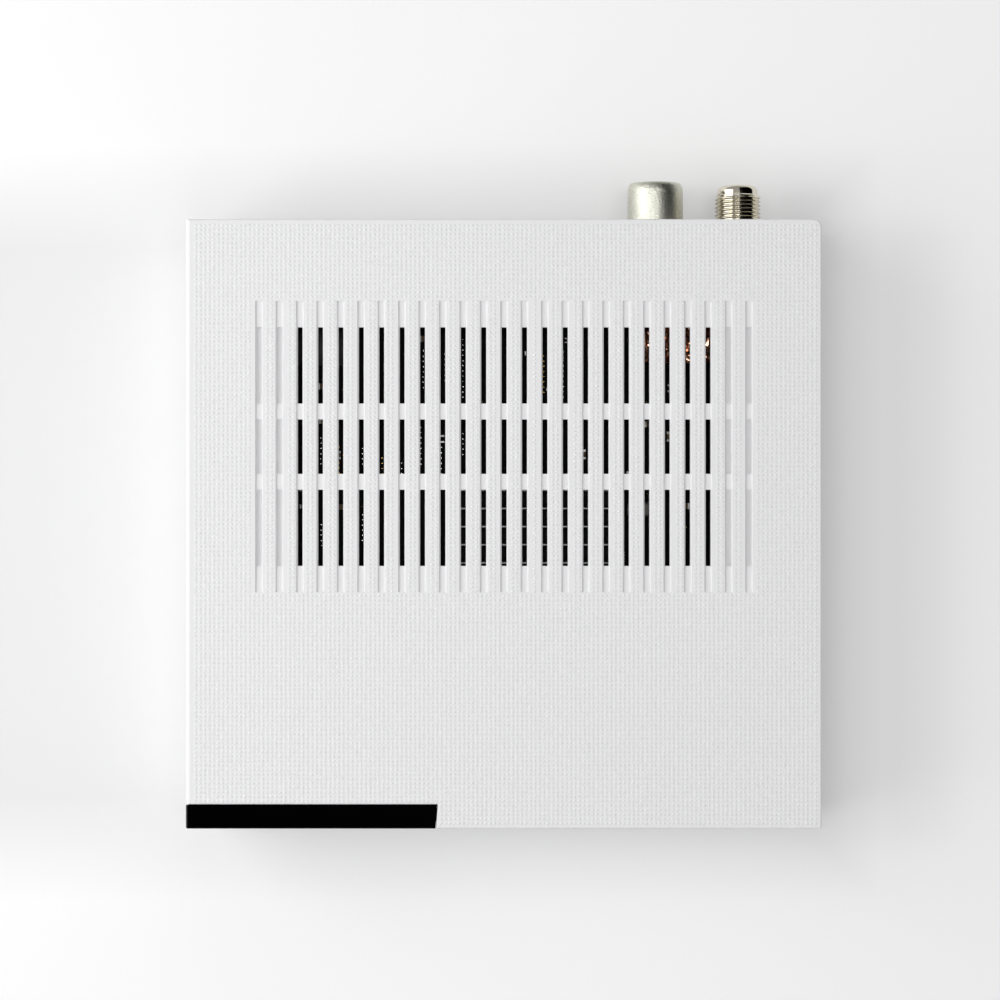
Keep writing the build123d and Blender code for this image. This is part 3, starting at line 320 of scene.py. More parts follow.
def solder_mask_laminate():
    """Glass-fibre board under dark solder mask: faint copper tracks, and small tinned pads and vias.
    Real tracks are finer than the render shows, so they are drawn about twice as wide."""
    mask = colours().board_mask
    material = surface(
        "solder_mask_laminate", shaded(mask, 0.8), shaded(mask, 1.2),
        grain=0.8, rough=(0.5, 0.65), relief=0.002, Specular_IOR_Level=0.15,
    )
    nodes = material.node_tree.nodes
    tint = nodes["tint"]
    # Feature and spacing of the cells, how uneven they are, the share of a cell that shows, and its colour
    patterns = (
        ("DISTANCE_TO_EDGE", 3.4 * MM, 0.75, 0.07, shaded(mask, 2.2)),
        ("F1", 2.6 * MM, 1.0, 0.05, "#D8C79A"),
    )
    for feature, cell, uneven, share, colour in patterns:
        cells = add_node(
            material, "ShaderNodeTexVoronoi",
            {"feature": feature, "Scale": 1 / cell, "Randomness": uneven},
            {"Vector": nodes["place"].outputs["Object"]},
        )
        shown = add_node(
            material, "ShaderNodeMath", {"operation": "LESS_THAN", 1: share}, {0: cells.outputs["Distance"]},
        )
        tint = add_node(
            material, "ShaderNodeMix", {"data_type": "RGBA", MIX_TO: rgba(colour)},
            {MIX_SHARE: shown.outputs[0], MIX_FROM: tint.outputs[MIXED]},
        )
    # The last pattern is the pads, which are metal
    feed(material, "Base Color", tint.outputs[MIXED])
    feed(material, "Metallic", shown.outputs[0])
    return material


def epoxy_moulded():
    """Epoxy chip resin: charcoal and matt, with the fine grain of its silica."""
    return surface(
        "epoxy_moulded", "#121213", "#1C1C1D",
        grain=0.25, rough=(0.55, 0.7), relief=0.004, Specular_IOR_Level=0.2,
    )


def pbt_moulded():
    """Black PBT of the sockets: satin, with a trace of flow marks."""
    return surface(
        "pbt_moulded", "#0E0E0F", "#19191A", grain=0.8, rough=(0.34, 0.46), relief=0.003, IOR=1.55,
    )


def polypropylene_natural():
    """Uncoloured polypropylene: milky, warm and soft-edged in its shine."""
    return surface(
        "polypropylene_natural", "#D8D2C0", "#E6E1D2",
        grain=1.0, rough=(0.34, 0.48), relief=0.003, IOR=1.49,
    )


def silicone_pad():
    """Filled silicone of the thermal pad: dull blue-grey and faintly mottled."""
    return surface("silicone_pad", "#7E8790", "#98A0A8", grain=0.6, rough=(0.7, 0.85), relief=0.01)


def ferrite_pressed():
    """Pressed ferrite: dark grey, dry and slightly pitted."""
    return surface("ferrite_pressed", "#2C2C2E", "#414144", grain=0.3, rough=(0.55, 0.75), relief=0.02)


def shrink_sleeve_dark():
    """The plastic sleeve of the capacitors: dark and softly glossy, with fine shrink ripples."""
    return surface("shrink_sleeve_dark", "#15161C", "#20222B", grain=0.7, rough=(0.22, 0.32), relief=0.01)


def drawn_aluminium():
    """Drawn aluminium of the capacitor tops: pale and finely scuffed."""
    return surface(
        "drawn_aluminium", "#B9B9BC", "#D2D2D4", grain=0.4, rough=(0.3, 0.45), relief=0.004, Metallic=1.0,
    )


def ceramic_fired():
    """Fired ceramic of the small capacitors: tan, with a faint speckle."""
    return surface("ceramic_fired", "#8C6F4E", "#A98A64", grain=0.2, rough=(0.45, 0.6), relief=0.002)


def display_epoxy():
    """Face of the LED display: dark epoxy, satin, with a slight haze."""
    return surface("display_epoxy", "#101011", "#1D1D1F", grain=1.5, rough=(0.3, 0.4), relief=0.002)


def tinted_resin(name, dark, light):
    """Clear resin with a dye, as on receivers and indicator lights: deep in colour and shiny."""
    return surface(name, dark, light, grain=1.2, rough=(0.08, 0.16), relief=0.001, IOR=1.54)


def paint(material, *nodes):
    """Gives CAD nodes a material."""
    for node in nodes:
        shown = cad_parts[node]
        if not shown.material_slots:
            shown.data.materials.append(material)
        for slot in shown.material_slots:
            slot.material = material


# Shapes

def add_object(name, shape, materials):
    """Makes an object from a finished bmesh."""
    mesh = bpy.data.meshes.new(name)
    shape.to_mesh(mesh)
    shape.free()
    for material in materials:
        mesh.materials.append(material)
    made = bpy.data.objects.new(name, mesh)
    bpy.context.scene.collection.objects.link(made)
    return made


def add_piece(name, shape, materials, stands_for=(), smooth=40):
    """Makes a piece of the case body, with edges sharper than an angle in degrees left sharp."""
    piece = add_object(name, shape, materials)
    piece.data.shade_smooth()
    piece.data.set_sharp_from_angle(angle=math.radians(smooth))
    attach(piece, "case")
    if stands_for:
        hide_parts(*stands_for)


def corners(places):
    """The lowest and highest corner of the box round some places."""
    low = Vector([min(place[axis] for place in places) for axis in range(3)])
    high = Vector([max(place[axis] for place in places) for axis in range(3)])
    return low, high


def foot_of(low, high):
    """The middle of the underside of a box."""
    return Vector(((low.x + high.x) / 2, (low.y + high.y) / 2, low.z))


def solids_of(node):
    """The lowest and highest corner of each separate solid of a CAD node."""
    shape = bmesh.new()
    shape.from_mesh(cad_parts[node].data)
    bmesh.ops.remove_doubles(shape, verts=shape.verts, dist=SAME_PLACE)
    left = set(shape.verts)
    boxes = []
    while left:
        found = [left.pop()]
        for vert in found:
            near = {edge.other_vert(vert) for edge in vert.link_edges} & left
            left -= near
            found.extend(near)
        boxes.append(corners([vert.co for vert in found]))
    shape.free()
    return sorted(boxes, key=lambda box: tuple(round(part, 5) for part in box[0]))


def end_box(node, reach):
    """The corners of what a CAD node has within a reach of its rear end."""
    places = [vert.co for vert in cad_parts[node].data.vertices]
    rear = max(place.y for place in places)
    return corners([place for place in places if place.y > rear - reach])


def only(kind, made):
    """The items of one kind in what a bmesh operator gives back."""
    return [item for item in made["geom"] if isinstance(item, kind)]


def block(shape, low, high):
    """Adds a plain block between two corners."""
    place = Matrix.LocRotScale((low + high) / 2, None, high - low)
    return bmesh.ops.create_cube(shape, size=1, matrix=place)["verts"]


def soft_block(shape, low, high, edge):
    """Adds a block between two corners, with rounded edges."""
    edges = {link for vert in block(shape, low, high) for link in vert.link_edges}
    bmesh.ops.bevel(
        shape, geom=list(edges), offset=edge, affect="EDGES", segments=3, profile=0.5, material=-1,
    )


def flat_block(shape, low, high, material=0):
    """Adds a sharp block of one material, for parts too small to show a rounded edge."""
    for face in {face for vert in block(shape, low, high) for face in vert.link_faces}:
        face.material_index = material


def turn(shape, outline, centre, axis, steps):
    """Spins an outline of radius and distance along the axis into a solid, and returns its faces."""
    verts = [shape.verts.new(centre + RIGHTWARD * radius + axis * along) for radius, along in outline]
    edges = [shape.edges.new(pair) for pair in zip(verts, verts[1:])]
    before = set(shape.verts) - set(verts)
    bmesh.ops.spin(
        shape, geom=verts + edges, cent=centre, axis=axis, angle=2 * math.pi, steps=steps, use_merge=True,
    )
    made = [vert for vert in shape.verts if vert not in before]
    bmesh.ops.remove_doubles(shape, verts=made, dist=SAME_PLACE)
    made = [vert for vert in shape.verts if vert not in before]
    faces = list({face for vert in made for face in vert.link_faces})
    bmesh.ops.recalc_face_normals(shape, faces=faces)
    return faces


def arc(radius_from, along_from, radius_to, along_to, steps):
    """Points of a quarter turn that leaves the first point sideways and meets the second one lengthways."""
    points = []
    for step in range(steps + 1):
        angle = math.pi / 2 * step / steps
        radius = radius_from + (radius_to - radius_from) * math.sin(angle)
        along = along_to + (along_from - along_to) * math.cos(angle)
        points.append((radius, along))
    return points


# Case: cover, tray, rear panel, window and button

GRID_MARGIN = Vector((1.1 * MM, 1.1 * MM, 0))
PIP_SIDES = 6
PIP_ROOT = 0.01 * MM


def is_flat_top(cover, place, reach):
    """Whether the cover has its full height at a place and at a reach to all four sides of it."""
    for way in (Vector(), RIGHTWARD, -RIGHTWARD, REARWARD, -REARWARD):
        start = place + way * reach
        start.z = COVER_HIGH.z + MM
        hit = cover.ray_cast(start, -UP)[0]
        if hit is None or COVER_HIGH.z - hit.z > SAME_LEVEL:
            return False
    return True


class SETTOPBOX_OT_case(bpy.types.Operator):
    """Give the case its white plastic, the cover its grid of low pips and the window its black gloss"""
    bl_idname = "settopbox.case"
    bl_label = "Case"

    def execute(self, context):
        paint(white_abs_moulded(), "top_cover", "base_tray", "rear_panel", "standby_button")
        paint(smoked_acrylic_gloss(), "front_window")
        self.cover_grid()
        return {"FINISHED"}

    def cover_grid(self):
        """One pip copied into a square grid, less the pips that don't stand on the flat of the cover"""
        grid = sizes()
        room = COVER_HIGH - COVER_LOW - 2 * GRID_MARGIN
        first = COVER_LOW + GRID_MARGIN
        first.z = COVER_HIGH.z
        shape = bmesh.new()
        turn(shape, [(0, grid.pip_height), (grid.pip_radius, -PIP_ROOT)], first, UP, PIP_SIDES)
        bmesh.ops.edgeloop_fill(shape, edges=[edge for edge in shape.edges if edge.is_boundary])
        bmesh.ops.recalc_face_normals(shape, faces=shape.faces)
        for way in (RIGHTWARD, REARWARD):
            copies = int(room.dot(way) / grid.grid_pitch)
            bmesh.ops.spin(
                shape, geom=shape.verts[:] + shape.edges[:] + shape.faces[:], cent=first, axis=UP,
                dvec=way * grid.grid_pitch, angle=0, steps=copies, use_duplicate=True,
            )
        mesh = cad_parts["top_cover"].data
        cover = BVHTree.FromPolygons(
            [vert.co for vert in mesh.vertices], [face.vertices for face in mesh.polygons],
        )
        astray = []
        for tip in shape.verts:
            if tip.co.z > COVER_HIGH.z and not is_flat_top(cover, tip.co, grid.pip_radius):
                astray.append(tip)
                astray.extend(edge.other_vert(tip) for edge in tip.link_edges)
        bmesh.ops.delete(shape, geom=astray, context="VERTS")
        add_piece("cover_grid", shape, [white_abs_polished()])


# Feet

FOOT_ROUND = 0.6 * MM
DISH_DEPTH = 0.25 * MM

# Shares of the foot's radius
DISH_FLOOR, DISH_EDGE = 0.62, 0.68


class SETTOPBOX_OT_feet(bpy.types.Operator):
    """Make the rubber feet with their rounded rims and shallow dished undersides"""
    bl_idname = "settopbox.feet"
    bl_label = "Feet"

    def execute(self, context):
        shape = bmesh.new()
        for low, high in solids_of("rubber_feet"):
            radius = (high.x - low.x) / 2
            rise = high.z - low.z
            dish = [(0, DISH_DEPTH), (radius * DISH_FLOOR, DISH_DEPTH), (radius * DISH_EDGE, 0)]
            rim = arc(radius - FOOT_ROUND, 0, radius, FOOT_ROUND, steps=4)
            turn(shape, dish + rim + [(radius, rise), (0, rise)], foot_of(low, high), UP, steps=48)
        add_piece("moulded_feet", shape, [rubber_moulded()], ["rubber_feet"])
        return {"FINISHED"}


# Screws

HEAD_RISE = 1.8 * MM

# Shares of the head's rise
CROWN_EDGE, CROSS_DEPTH = 0.45, 0.55

# Shares of the head's radius
CROWN_FLAT, SHANK_WIDTH = 0.6, 0.51
CROSS_HALF, CROSS_REACH = 0.12, 0.48

# Share of the shank's radius
POINT_WIDTH = 0.4


def pan_screw(shape, place, way, radius, length):
    """Adds a cross-head screw whose head bears on a place, its shank running along way."""
    shank_radius = radius * SHANK_WIDTH
    taper = shank_radius * (1 - POINT_WIDTH)
    crown = arc(radius * CROWN_FLAT, -HEAD_RISE, radius, -HEAD_RISE * CROWN_EDGE, steps=4)
    shank = [(radius, 0), (shank_radius, 0), (shank_radius, length - taper)]
    point = [(shank_radius * POINT_WIDTH, length), (0, length)]
    flat = []
    for face in turn(shape, [(0, -HEAD_RISE)] + crown + shank + point, place, way, steps=32):
        along = (face.calc_center_median() - place).dot(way)
        if abs(along + HEAD_RISE) < SAME_LEVEL:
            flat.append(face)
    half = radius * CROSS_HALF
    reach = radius * CROSS_REACH
    for direction in (RIGHTWARD, REARWARD):
        for offset in (-reach, -half, half, reach):
            edges = {edge for face in flat for edge in face.edges}
            verts = {vert for face in flat for vert in face.verts}
            cut = bmesh.ops.bisect_plane(
                shape, geom=flat + list(edges) + list(verts), plane_co=place + direction * offset,
                plane_no=direction, dist=SAME_PLACE,
            )
            flat = only(bmesh.types.BMFace, cut)
    cross = []
    for face in flat:
        away = face.calc_center_median() - place
        sides = sorted((abs(away.x), abs(away.y)))
        if sides[0] < half and sides[1] < reach:
            cross.append(face)
    sunk = bmesh.ops.extrude_face_region(shape, geom=cross)
    bmesh.ops.delete(shape, geom=cross, context="FACES_ONLY")
    bmesh.ops.translate(shape, verts=only(bmesh.types.BMVert, sunk), vec=way * HEAD_RISE * CROSS_DEPTH)


class SETTOPBOX_OT_screws(bpy.types.Operator):
    """Make the cross-head screws of the case and of the main board"""
    bl_idname = "settopbox.screws"
    bl_label = "Screws"

    def execute(self, context):
        steel = zinc_plated_steel()
        sets = (("case_screws", "pan_head_case_screws", UP), ("board_screws", "pan_head_board_screws", -UP))
        for node, name, way in sets:
            shape = bmesh.new()
            for low, high in solids_of(node):
                seat = foot_of(low, high)
                seat.z = low.z + HEAD_RISE if way.z > 0 else high.z - HEAD_RISE
                pan_screw(shape, seat, way, (high.x - low.x) / 2, high.z - low.z - HEAD_RISE)
            bmesh.ops.recalc_face_normals(shape, faces=shape.faces)
            add_piece(name, shape, [steel], [node], smooth=30)
        return {"FINISHED"}


# Main board and the small parts on it

# What stands on the board or over it, so that no small part is set there
CARRIED = (
    "system_chip", "memory_chips", "flash_chip", "capacitors", "inductors", "network_transformer", "crystal",
    "tuner_lid", "aerial_shell", "f_body", "power_jack", "network_shield", "usb_shell", "hdmi_shell",
    "optical_body", "board_header", "board_screws", "heat_sink",
)
POST_ROOM = Vector((6 * MM, 6 * MM, 0))
BOARD_MARGIN = 2.5 * MM

# Small parts: length, width and rise in mm, and the material of the body
RESIN, CERAMIC, TINNED = range(3)
PART_KINDS = (
    (1.6, 0.8, 0.45, RESIN), (1.6, 0.8, 0.8, CERAMIC), (1.0, 0.5, 0.35, RESIN), (2.0, 1.25, 1.0, CERAMIC),
)
PART_COLUMNS, PART_ROWS = 34, 30
PART_SHIFT = 0.5 * MM
PART_ROOM = 1.4 * MM
BARE_SHARE = 0.8
END_SHARE = 0.22
BODY_WIDTH, BODY_RISE = 0.94, 0.95

# Rows of solder points: x and front y of the row in mm, number of points, and 1 where they are gold
POINT_ROWS = (
    (-38.1, 8.0, 6, 0), (-34.3, 5.0, 7, 1), (-33.5, 5.5, 6, 1), (-29.5, 8.0, 4, 0), (-25.4, 6.0, 4, 1),
    (-38.0, -9.0, 5, 0), (-29.5, -8.0, 6, 0), (-17.0, -2.0, 4, 0), (-17.3, 8.0, 8, 0), (-13.0, 6.0, 7, 0),
    (-16.8, 24.0, 8, 0), (-12.3, 25.5, 6, 0), (-8.5, 22.0, 12, 0), (-8.5, 10.0, 5, 0), (-21.3, 6.0, 3, 0),
    (8.4, 23.0, 8, 1), (12.5, 22.0, 9, 0), (20.7, -8.0, 8, 0), (24.9, -12.0, 10, 1), (29.0, 6.0, 9, 0),
)
POINT_PITCH = 1.09 * MM
POINT_RADIUS = 0.09 * MM
POINT_FOOT = 1.1 * POINT_RADIUS
POINT_RISE = 0.08 * MM
POINT_BULGE = 0.003 * MM


def is_free(spot, half, taken):
    """Whether a small part of that half size fits on the board clear of the others."""
    for low, high in taken:
        if low.x - half < spot.x < high.x + half and low.y - half < spot.y < high.y + half:
            return False
    return True


def is_on_board(spot):
    """Whether a spot keeps its margin from the edges of the board."""
    return min(*(spot - BOARD_LOW).xy, *(BOARD_HIGH - spot).xy) >= BOARD_MARGIN


def small_part(shape, spot, kind, across):
    """Adds a chip part: a body between two tinned ends."""
    length, width, rise = [size * MM for size in kind[:3]]
    along, aside = (REARWARD, RIGHTWARD) if across else (RIGHTWARD, REARWARD)
    end = length * END_SHARE
    half = along * end / 2 + aside * width / 2
    for way in (-1, 1):
        middle = spot + along * way * (length - end) / 2
        flat_block(shape, middle - half, middle + half + UP * rise, TINNED)
    half = along * (length / 2 - end) + aside * width / 2 * BODY_WIDTH
    flat_block(shape, spot - half, spot + half + UP * rise * BODY_RISE, kind[3])


class SETTOPBOX_OT_main_board(bpy.types.Operator):
    """Give the main board its mask, its small resistors and capacitors, and its solder points"""
    bl_idname = "settopbox.main_board"
    bl_label = "Main board"

    def execute(self, context):
        paint(solder_mask_laminate(), "main_board", "front_board")
        taken = [box for node in CARRIED for box in solids_of(node)]
        taken.extend((low - POST_ROOM, high + POST_ROOM) for low, high in solids_of("case_screws"))
        self.small_parts(taken)
        self.solder_points(taken)
        return {"FINISHED"}

    def small_parts(self, taken):
        """Sets small parts on a loose grid, clear of all that the board carries."""
        draw = random.Random(sizes().small_part_seed)
        room = BOARD_HIGH - BOARD_LOW
        cell = Vector((room.x / PART_COLUMNS, room.y / PART_ROWS))
        shape = bmesh.new()
        for column in range(PART_COLUMNS):
            for row in range(PART_ROWS):
                shift = [draw.uniform(-PART_SHIFT, PART_SHIFT) for axis in range(2)]
                across = draw.random() < 0.5
                kind = draw.choice(PART_KINDS)
                skip = draw.random() < BARE_SHARE
                step = Vector(((column + 0.5) * cell.x + shift[0], (row + 0.5) * cell.y + shift[1], room.z))
                spot = BOARD_LOW + step
                if not skip and is_on_board(spot) and is_free(spot, PART_ROOM, taken):
                    small_part(shape, spot, kind, across)
        materials = [epoxy_moulded(), ceramic_fired(), tinned_steel_sheet()]
        add_piece("small_board_parts", shape, materials, smooth=20)

    def solder_points(self, taken):
        """Sets rows of small solder domes on the board, from front to rear."""
        edge = POINT_RISE - POINT_BULGE
        crown = [(0, POINT_RISE), (POINT_RADIUS / 2, POINT_RISE - POINT_BULGE / 4), (POINT_RADIUS, edge)]
        shape = bmesh.new()
        for x, y, count, material in POINT_ROWS:
            for index in range(count):
                spot = Vector((x * MM, y * MM + index * POINT_PITCH, BOARD_HIGH.z))
                if not is_free(spot, POINT_RADIUS, taken):
                    continue
                for face in turn(shape, crown + [(POINT_FOOT, 0), (0, 0)], spot, UP, steps=10):
                    face.material_index = material
        tin = reflowed_solder("reflowed_solder_tin", "#D5D5D2", "#F2F2EF")
        gold = reflowed_solder("reflowed_solder_gold", "#D6A94E", "#F0CC7A")
        add_piece("solder_points", shape, [tin, gold])


# Chips, crystal, inductors and transformer

LEGS = 20
LEG_INSET = 0.5 * MM
LEG_ROOT = 0.1 * MM
LEG_REACH = 0.8 * MM
LEG_HALF_WIDTH = 0.12 * MM
LEG_RISE = 0.2 * MM


class SETTOPBOX_OT_chips(bpy.types.Operator):
    """Make the moulded packages, the legs of the flash chip and the metal crystal can"""
    bl_idname = "settopbox.chips"
    bl_label = "Chips"

    def execute(self, context):
        resin = epoxy_moulded()
        # Node, material, slot, and the rounding of the edges in mm
        sets = (
            ("system_chip", resin, "chip_resin", 0.2), ("memory_chips", resin, "chip_resin", 0.12),
            ("flash_chip", resin, "chip_resin", 0.12), ("tuner_chip", resin, "chip_resin", 0.1),
            ("network_transformer", pbt_moulded(), "black_plastic", 0.35),
            ("inductors", ferrite_pressed(), "ferrite", 0.7),
            ("crystal", nickel_plated_sheet(), "crystal_can", 0.4),
        )
        for node, material, slot, edge in sets:
            shape = bmesh.new()
            for low, high in solids_of(node):
                soft_block(shape, low, high, edge * MM)
            add_piece("moulded_" + node, shape, [material], [node])
        paint(silicone_pad(), "thermal_pad")
        self.flash_chip_legs()
        return {"FINISHED"}

    def flash_chip_legs(self):
        """Sets a row of flat legs along both sides of the flash chip."""
        low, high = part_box("flash_chip")
        pitch = (high.y - low.y - 2 * LEG_INSET) / (LEGS - 1)
        shape = bmesh.new()
        for edge, outward in ((low.x, -1), (high.x, 1)):
            ends = sorted((edge - outward * LEG_ROOT, edge + outward * LEG_REACH))
            for leg in range(LEGS):
                y = low.y + LEG_INSET + leg * pitch
                near = Vector((ends[0], y - LEG_HALF_WIDTH, low.z))
                far = Vector((ends[1], y + LEG_HALF_WIDTH, low.z + LEG_RISE))
                flat_block(shape, near, far)
        add_piece("flash_chip_legs", shape, [tinned_steel_sheet()], smooth=20)


class SETTOPBOX_OT_heat_sink(bpy.types.Operator):
    """Draw out the heat sink with rounded fin crests"""
    bl_idname = "settopbox.heat_sink"
    bl_label = "Heat sink"

    def execute(self, context):
        places = [vert.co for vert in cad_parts["heat_sink"].data.vertices]
        sides = sorted({round(place.y, 6) for place in places if place.z > SINK_HIGH.z - SAME_LEVEL})
        root = min(place.z for place in places if place.z > SINK_LOW.z + SAME_LEVEL)
        outline = [(SINK_HIGH.y, SINK_LOW.z), (SINK_LOW.y, SINK_LOW.z)]
        for front, rear in zip(sides[::2], sides[1::2]):
            middle = (front + rear) / 2
            half = (rear - front) / 2
            crest = arc(0, SINK_HIGH.z, half, SINK_HIGH.z - half, steps=4)
            outline.append((front, root))
            outline.extend((middle - across, height) for across, height in reversed(crest))
            outline.extend((middle + across, height) for across, height in crest[1:])
            outline.append((rear, root))
        shape = bmesh.new()
        face = shape.faces.new([shape.verts.new((SINK_LOW.x, y, z)) for y, z in outline])
        drawn = bmesh.ops.extrude_face_region(shape, geom=[face])
        length = RIGHTWARD * (SINK_HIGH.x - SINK_LOW.x)
        bmesh.ops.translate(shape, verts=only(bmesh.types.BMVert, drawn), vec=length)
        bmesh.ops.remove_doubles(shape, verts=shape.verts, dist=SAME_PLACE)
        bmesh.ops.dissolve_degenerate(shape, edges=shape.edges, dist=SAME_PLACE)
        bmesh.ops.recalc_face_normals(shape, faces=shape.faces)
        material = black_anodised_aluminium()
        add_piece("drawn_heat_sink", shape, [material], ["heat_sink"], smooth=50)
        return {"FINISHED"}


# Capacitors

# Outline of a can: shares of its radius, with mm above its foot or above its top
CAN_FOOT = ((0, 0), (0.92, 0), (0.98, 0.3), (0.98, 1.1), (0.9, 1.5), (0.98, 1.9), (1, 2.2))
CAN_TOP = ((1, -0.6), (0.96, -0.2), (0.87, 0), (0.84, -0.15), (0, -0.15))
BARE_TOP_RADIUS, BARE_TOP_DEPTH = 0.85, 0.2


class SETTOPBOX_OT_capacitors(bpy.types.Operator):
    """Make the electrolytic capacitors: a crimped can in a dark sleeve with a bare top"""
    bl_idname = "settopbox.capacitors"
    bl_label = "Capacitors"

    def execute(self, context):
        shape = bmesh.new()
        for low, high in solids_of("capacitors"):
            radius = (high.x - low.x) / 2
            rise = high.z - low.z
            foot = [(radius * share, height * MM) for share, height in CAN_FOOT]
            top = [(radius * share, rise + height * MM) for share, height in CAN_TOP]
            centre = foot_of(low, high)
            for face in turn(shape, foot + top, centre, UP, steps=40):
                middle = face.calc_center_median() - centre
                is_high = middle.z > rise - BARE_TOP_DEPTH * MM
                bare = is_high and middle.xy.length < radius * BARE_TOP_RADIUS
                face.material_index = 1 if bare else 0
        materials = [shrink_sleeve_dark(), drawn_aluminium()]
        add_piece("sleeved_capacitors", shape, materials, ["capacitors"])
        return {"FINISHED"}


# Tuner can and the foil over it

FOIL_GAP = 0.03 * MM
FOIL_BEND = 1.2 * MM
FOIL_THICKNESS = 0.05 * MM

# Folds: how much slower they change from front to rear, and the strength and fineness of each kind
FOLD_STRETCH = 0.4
FOLD_STRENGTH = 1.25
SMALL_FOLD_STRENGTH, SMALL_FOLD_FINENESS = 0.5, 2.3
SMALL_FOLD_SHIFT = Vector((7, 3, 1))
RIPPLE_STRENGTH, RIPPLE_FINENESS = 0.12, 6


def crumple(across, run):
    """The lift of the foil at a place, up to 1, with sharp folds."""
    place = Vector((across, run * FOLD_STRETCH, 0)) / sizes().foil_crease
    small = noise.noise(place * SMALL_FOLD_FINENESS + SMALL_FOLD_SHIFT)
    folds = abs(noise.noise(place)) + SMALL_FOLD_STRENGTH * abs(small)
    ripple = RIPPLE_STRENGTH * noise.noise(place * RIPPLE_FINENESS)
    return min(1.0, FOLD_STRENGTH * folds + ripple)


class SETTOPBOX_OT_tuner(bpy.types.Operator):
    """Finish the tuner can and crumple the copper foil over its lid"""
    bl_idname = "settopbox.tuner"
    bl_label = "Tuner can and foil"

    def execute(self, context):
        paint(tinned_steel_sheet(), "tuner_frame", "tuner_lid")
        low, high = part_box("copper_foil")
        lid_low, lid_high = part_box("tuner_lid")
        depth = high.y - lid_low.y
        fold = lid_high.z - low.z
        shape = bmesh.new()
        made = bmesh.ops.create_grid(shape, x_segments=96, y_segments=64, size=0.5)
        for vert in made["verts"]:
            across = low.x + (vert.co.x + 0.5) * (high.x - low.x)
            run = (0.5 - vert.co.y) * (depth + fold)
            lift = crumple(across, run) * sizes().foil_lift + FOIL_GAP
            over = min(1.0, max(0.0, (run - depth) / FOIL_BEND + 0.5))
            out = Vector((0, -over, 1 - over)).normalized()
            base = Vector((across, high.y - min(run, depth), lid_high.z - max(0.0, run - depth)))
            vert.co = base + out * lift
        bmesh.ops.recalc_face_normals(shape, faces=shape.faces)
        bmesh.ops.solidify(shape, geom=list(shape.faces), thickness=-FOIL_THICKNESS)
        material = copper_foil_crumpled()
        add_piece("crumpled_copper_foil", shape, [material], ["copper_foil"], smooth=25)
        return {"FINISHED"}


# Aerial sockets

SOCKET_STEPS = 96
BORE_ROOM = 0.05 * MM
COLLAR_LENGTH = 2.0 * MM
AERIAL_RADIUS = 5.75 * MM
AERIAL_COLLAR_RADIUS = AERIAL_RADIUS + 0.6 * MM
AERIAL_NOSE = 2.0 * MM
AERIAL_LIP_WIDTH, AERIAL_LIP_DEPTH = 0.1 * MM, 0.12 * MM
THREAD_CREST = 9.525 / 2 * MM
THREAD_SUNK = 0.06 * MM
THREAD_STEPS = 48
THREAD_LEAD = 0.6 * MM
THREAD_NOSE_GAP = 0.15 * MM
F_NOSE_RADIUS = 4.15 * MM
F_NOSE_ROUND = 1.2 * MM
F_NOSE_LENGTH = 1.9 * MM
F_NOSE_STEP = 0.2 * MM
F_NECK_RADIUS = THREAD_CREST + 0.5 * MM
F_COLLAR_RADIUS = F_NECK_RADIUS + 0.8 * MM

# Half widths of the thread's ridge at its foot and at its crest, as shares of the pitch
RIDGE_FOOT, RIDGE_CREST = 0.46, 0.06


def socket_axis(node):
    """The middle of a round socket's tip, with its length."""
    low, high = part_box(node)
    return Vector(((low.x + high.x) / 2, high.y, (low.z + high.z) / 2)), high.y - low.y


def bore_of(insulator, tip):
    """The radius of the bore round an insulator, and the place of its bottom from the socket's tip."""
    low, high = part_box(insulator)
    return (high.x - low.x) / 2 + BORE_ROOM, low.y - tip.y


class SETTOPBOX_OT_aerial_socket(bpy.types.Operator):
    """Turn the smooth aerial socket with its rounded nose and deep bore"""
    bl_idname = "settopbox.aerial_socket"
    bl_label = "Aerial socket"

    def execute(self, context):
        tip, length = socket_axis("aerial_shell")
        bore, bottom = bore_of("aerial_insulator", tip)
        shoulder = COLLAR_LENGTH - length
        inside = [(0, bottom), (bore, bottom), (bore, -AERIAL_LIP_DEPTH)]
        nose = arc(bore + AERIAL_LIP_WIDTH, 0, AERIAL_RADIUS, -AERIAL_NOSE, steps=8)
        collar = [(AERIAL_COLLAR_RADIUS, shoulder), (AERIAL_COLLAR_RADIUS, -length), (0, -length)]
        shape = bmesh.new()
        outline = inside + nose + [(AERIAL_RADIUS, shoulder)] + collar
        turn(shape, outline, tip, REARWARD, SOCKET_STEPS)
        add_piece("turned_aerial_shell", shape, [satin_tin_cast()], ["aerial_shell"])
        paint(polypropylene_natural(), "aerial_insulator", "f_insulator", "optical_emitter")
        paint(gold_flash_contact(), "aerial_contact", "f_contact", "network_contacts")
        return {"FINISHED"}


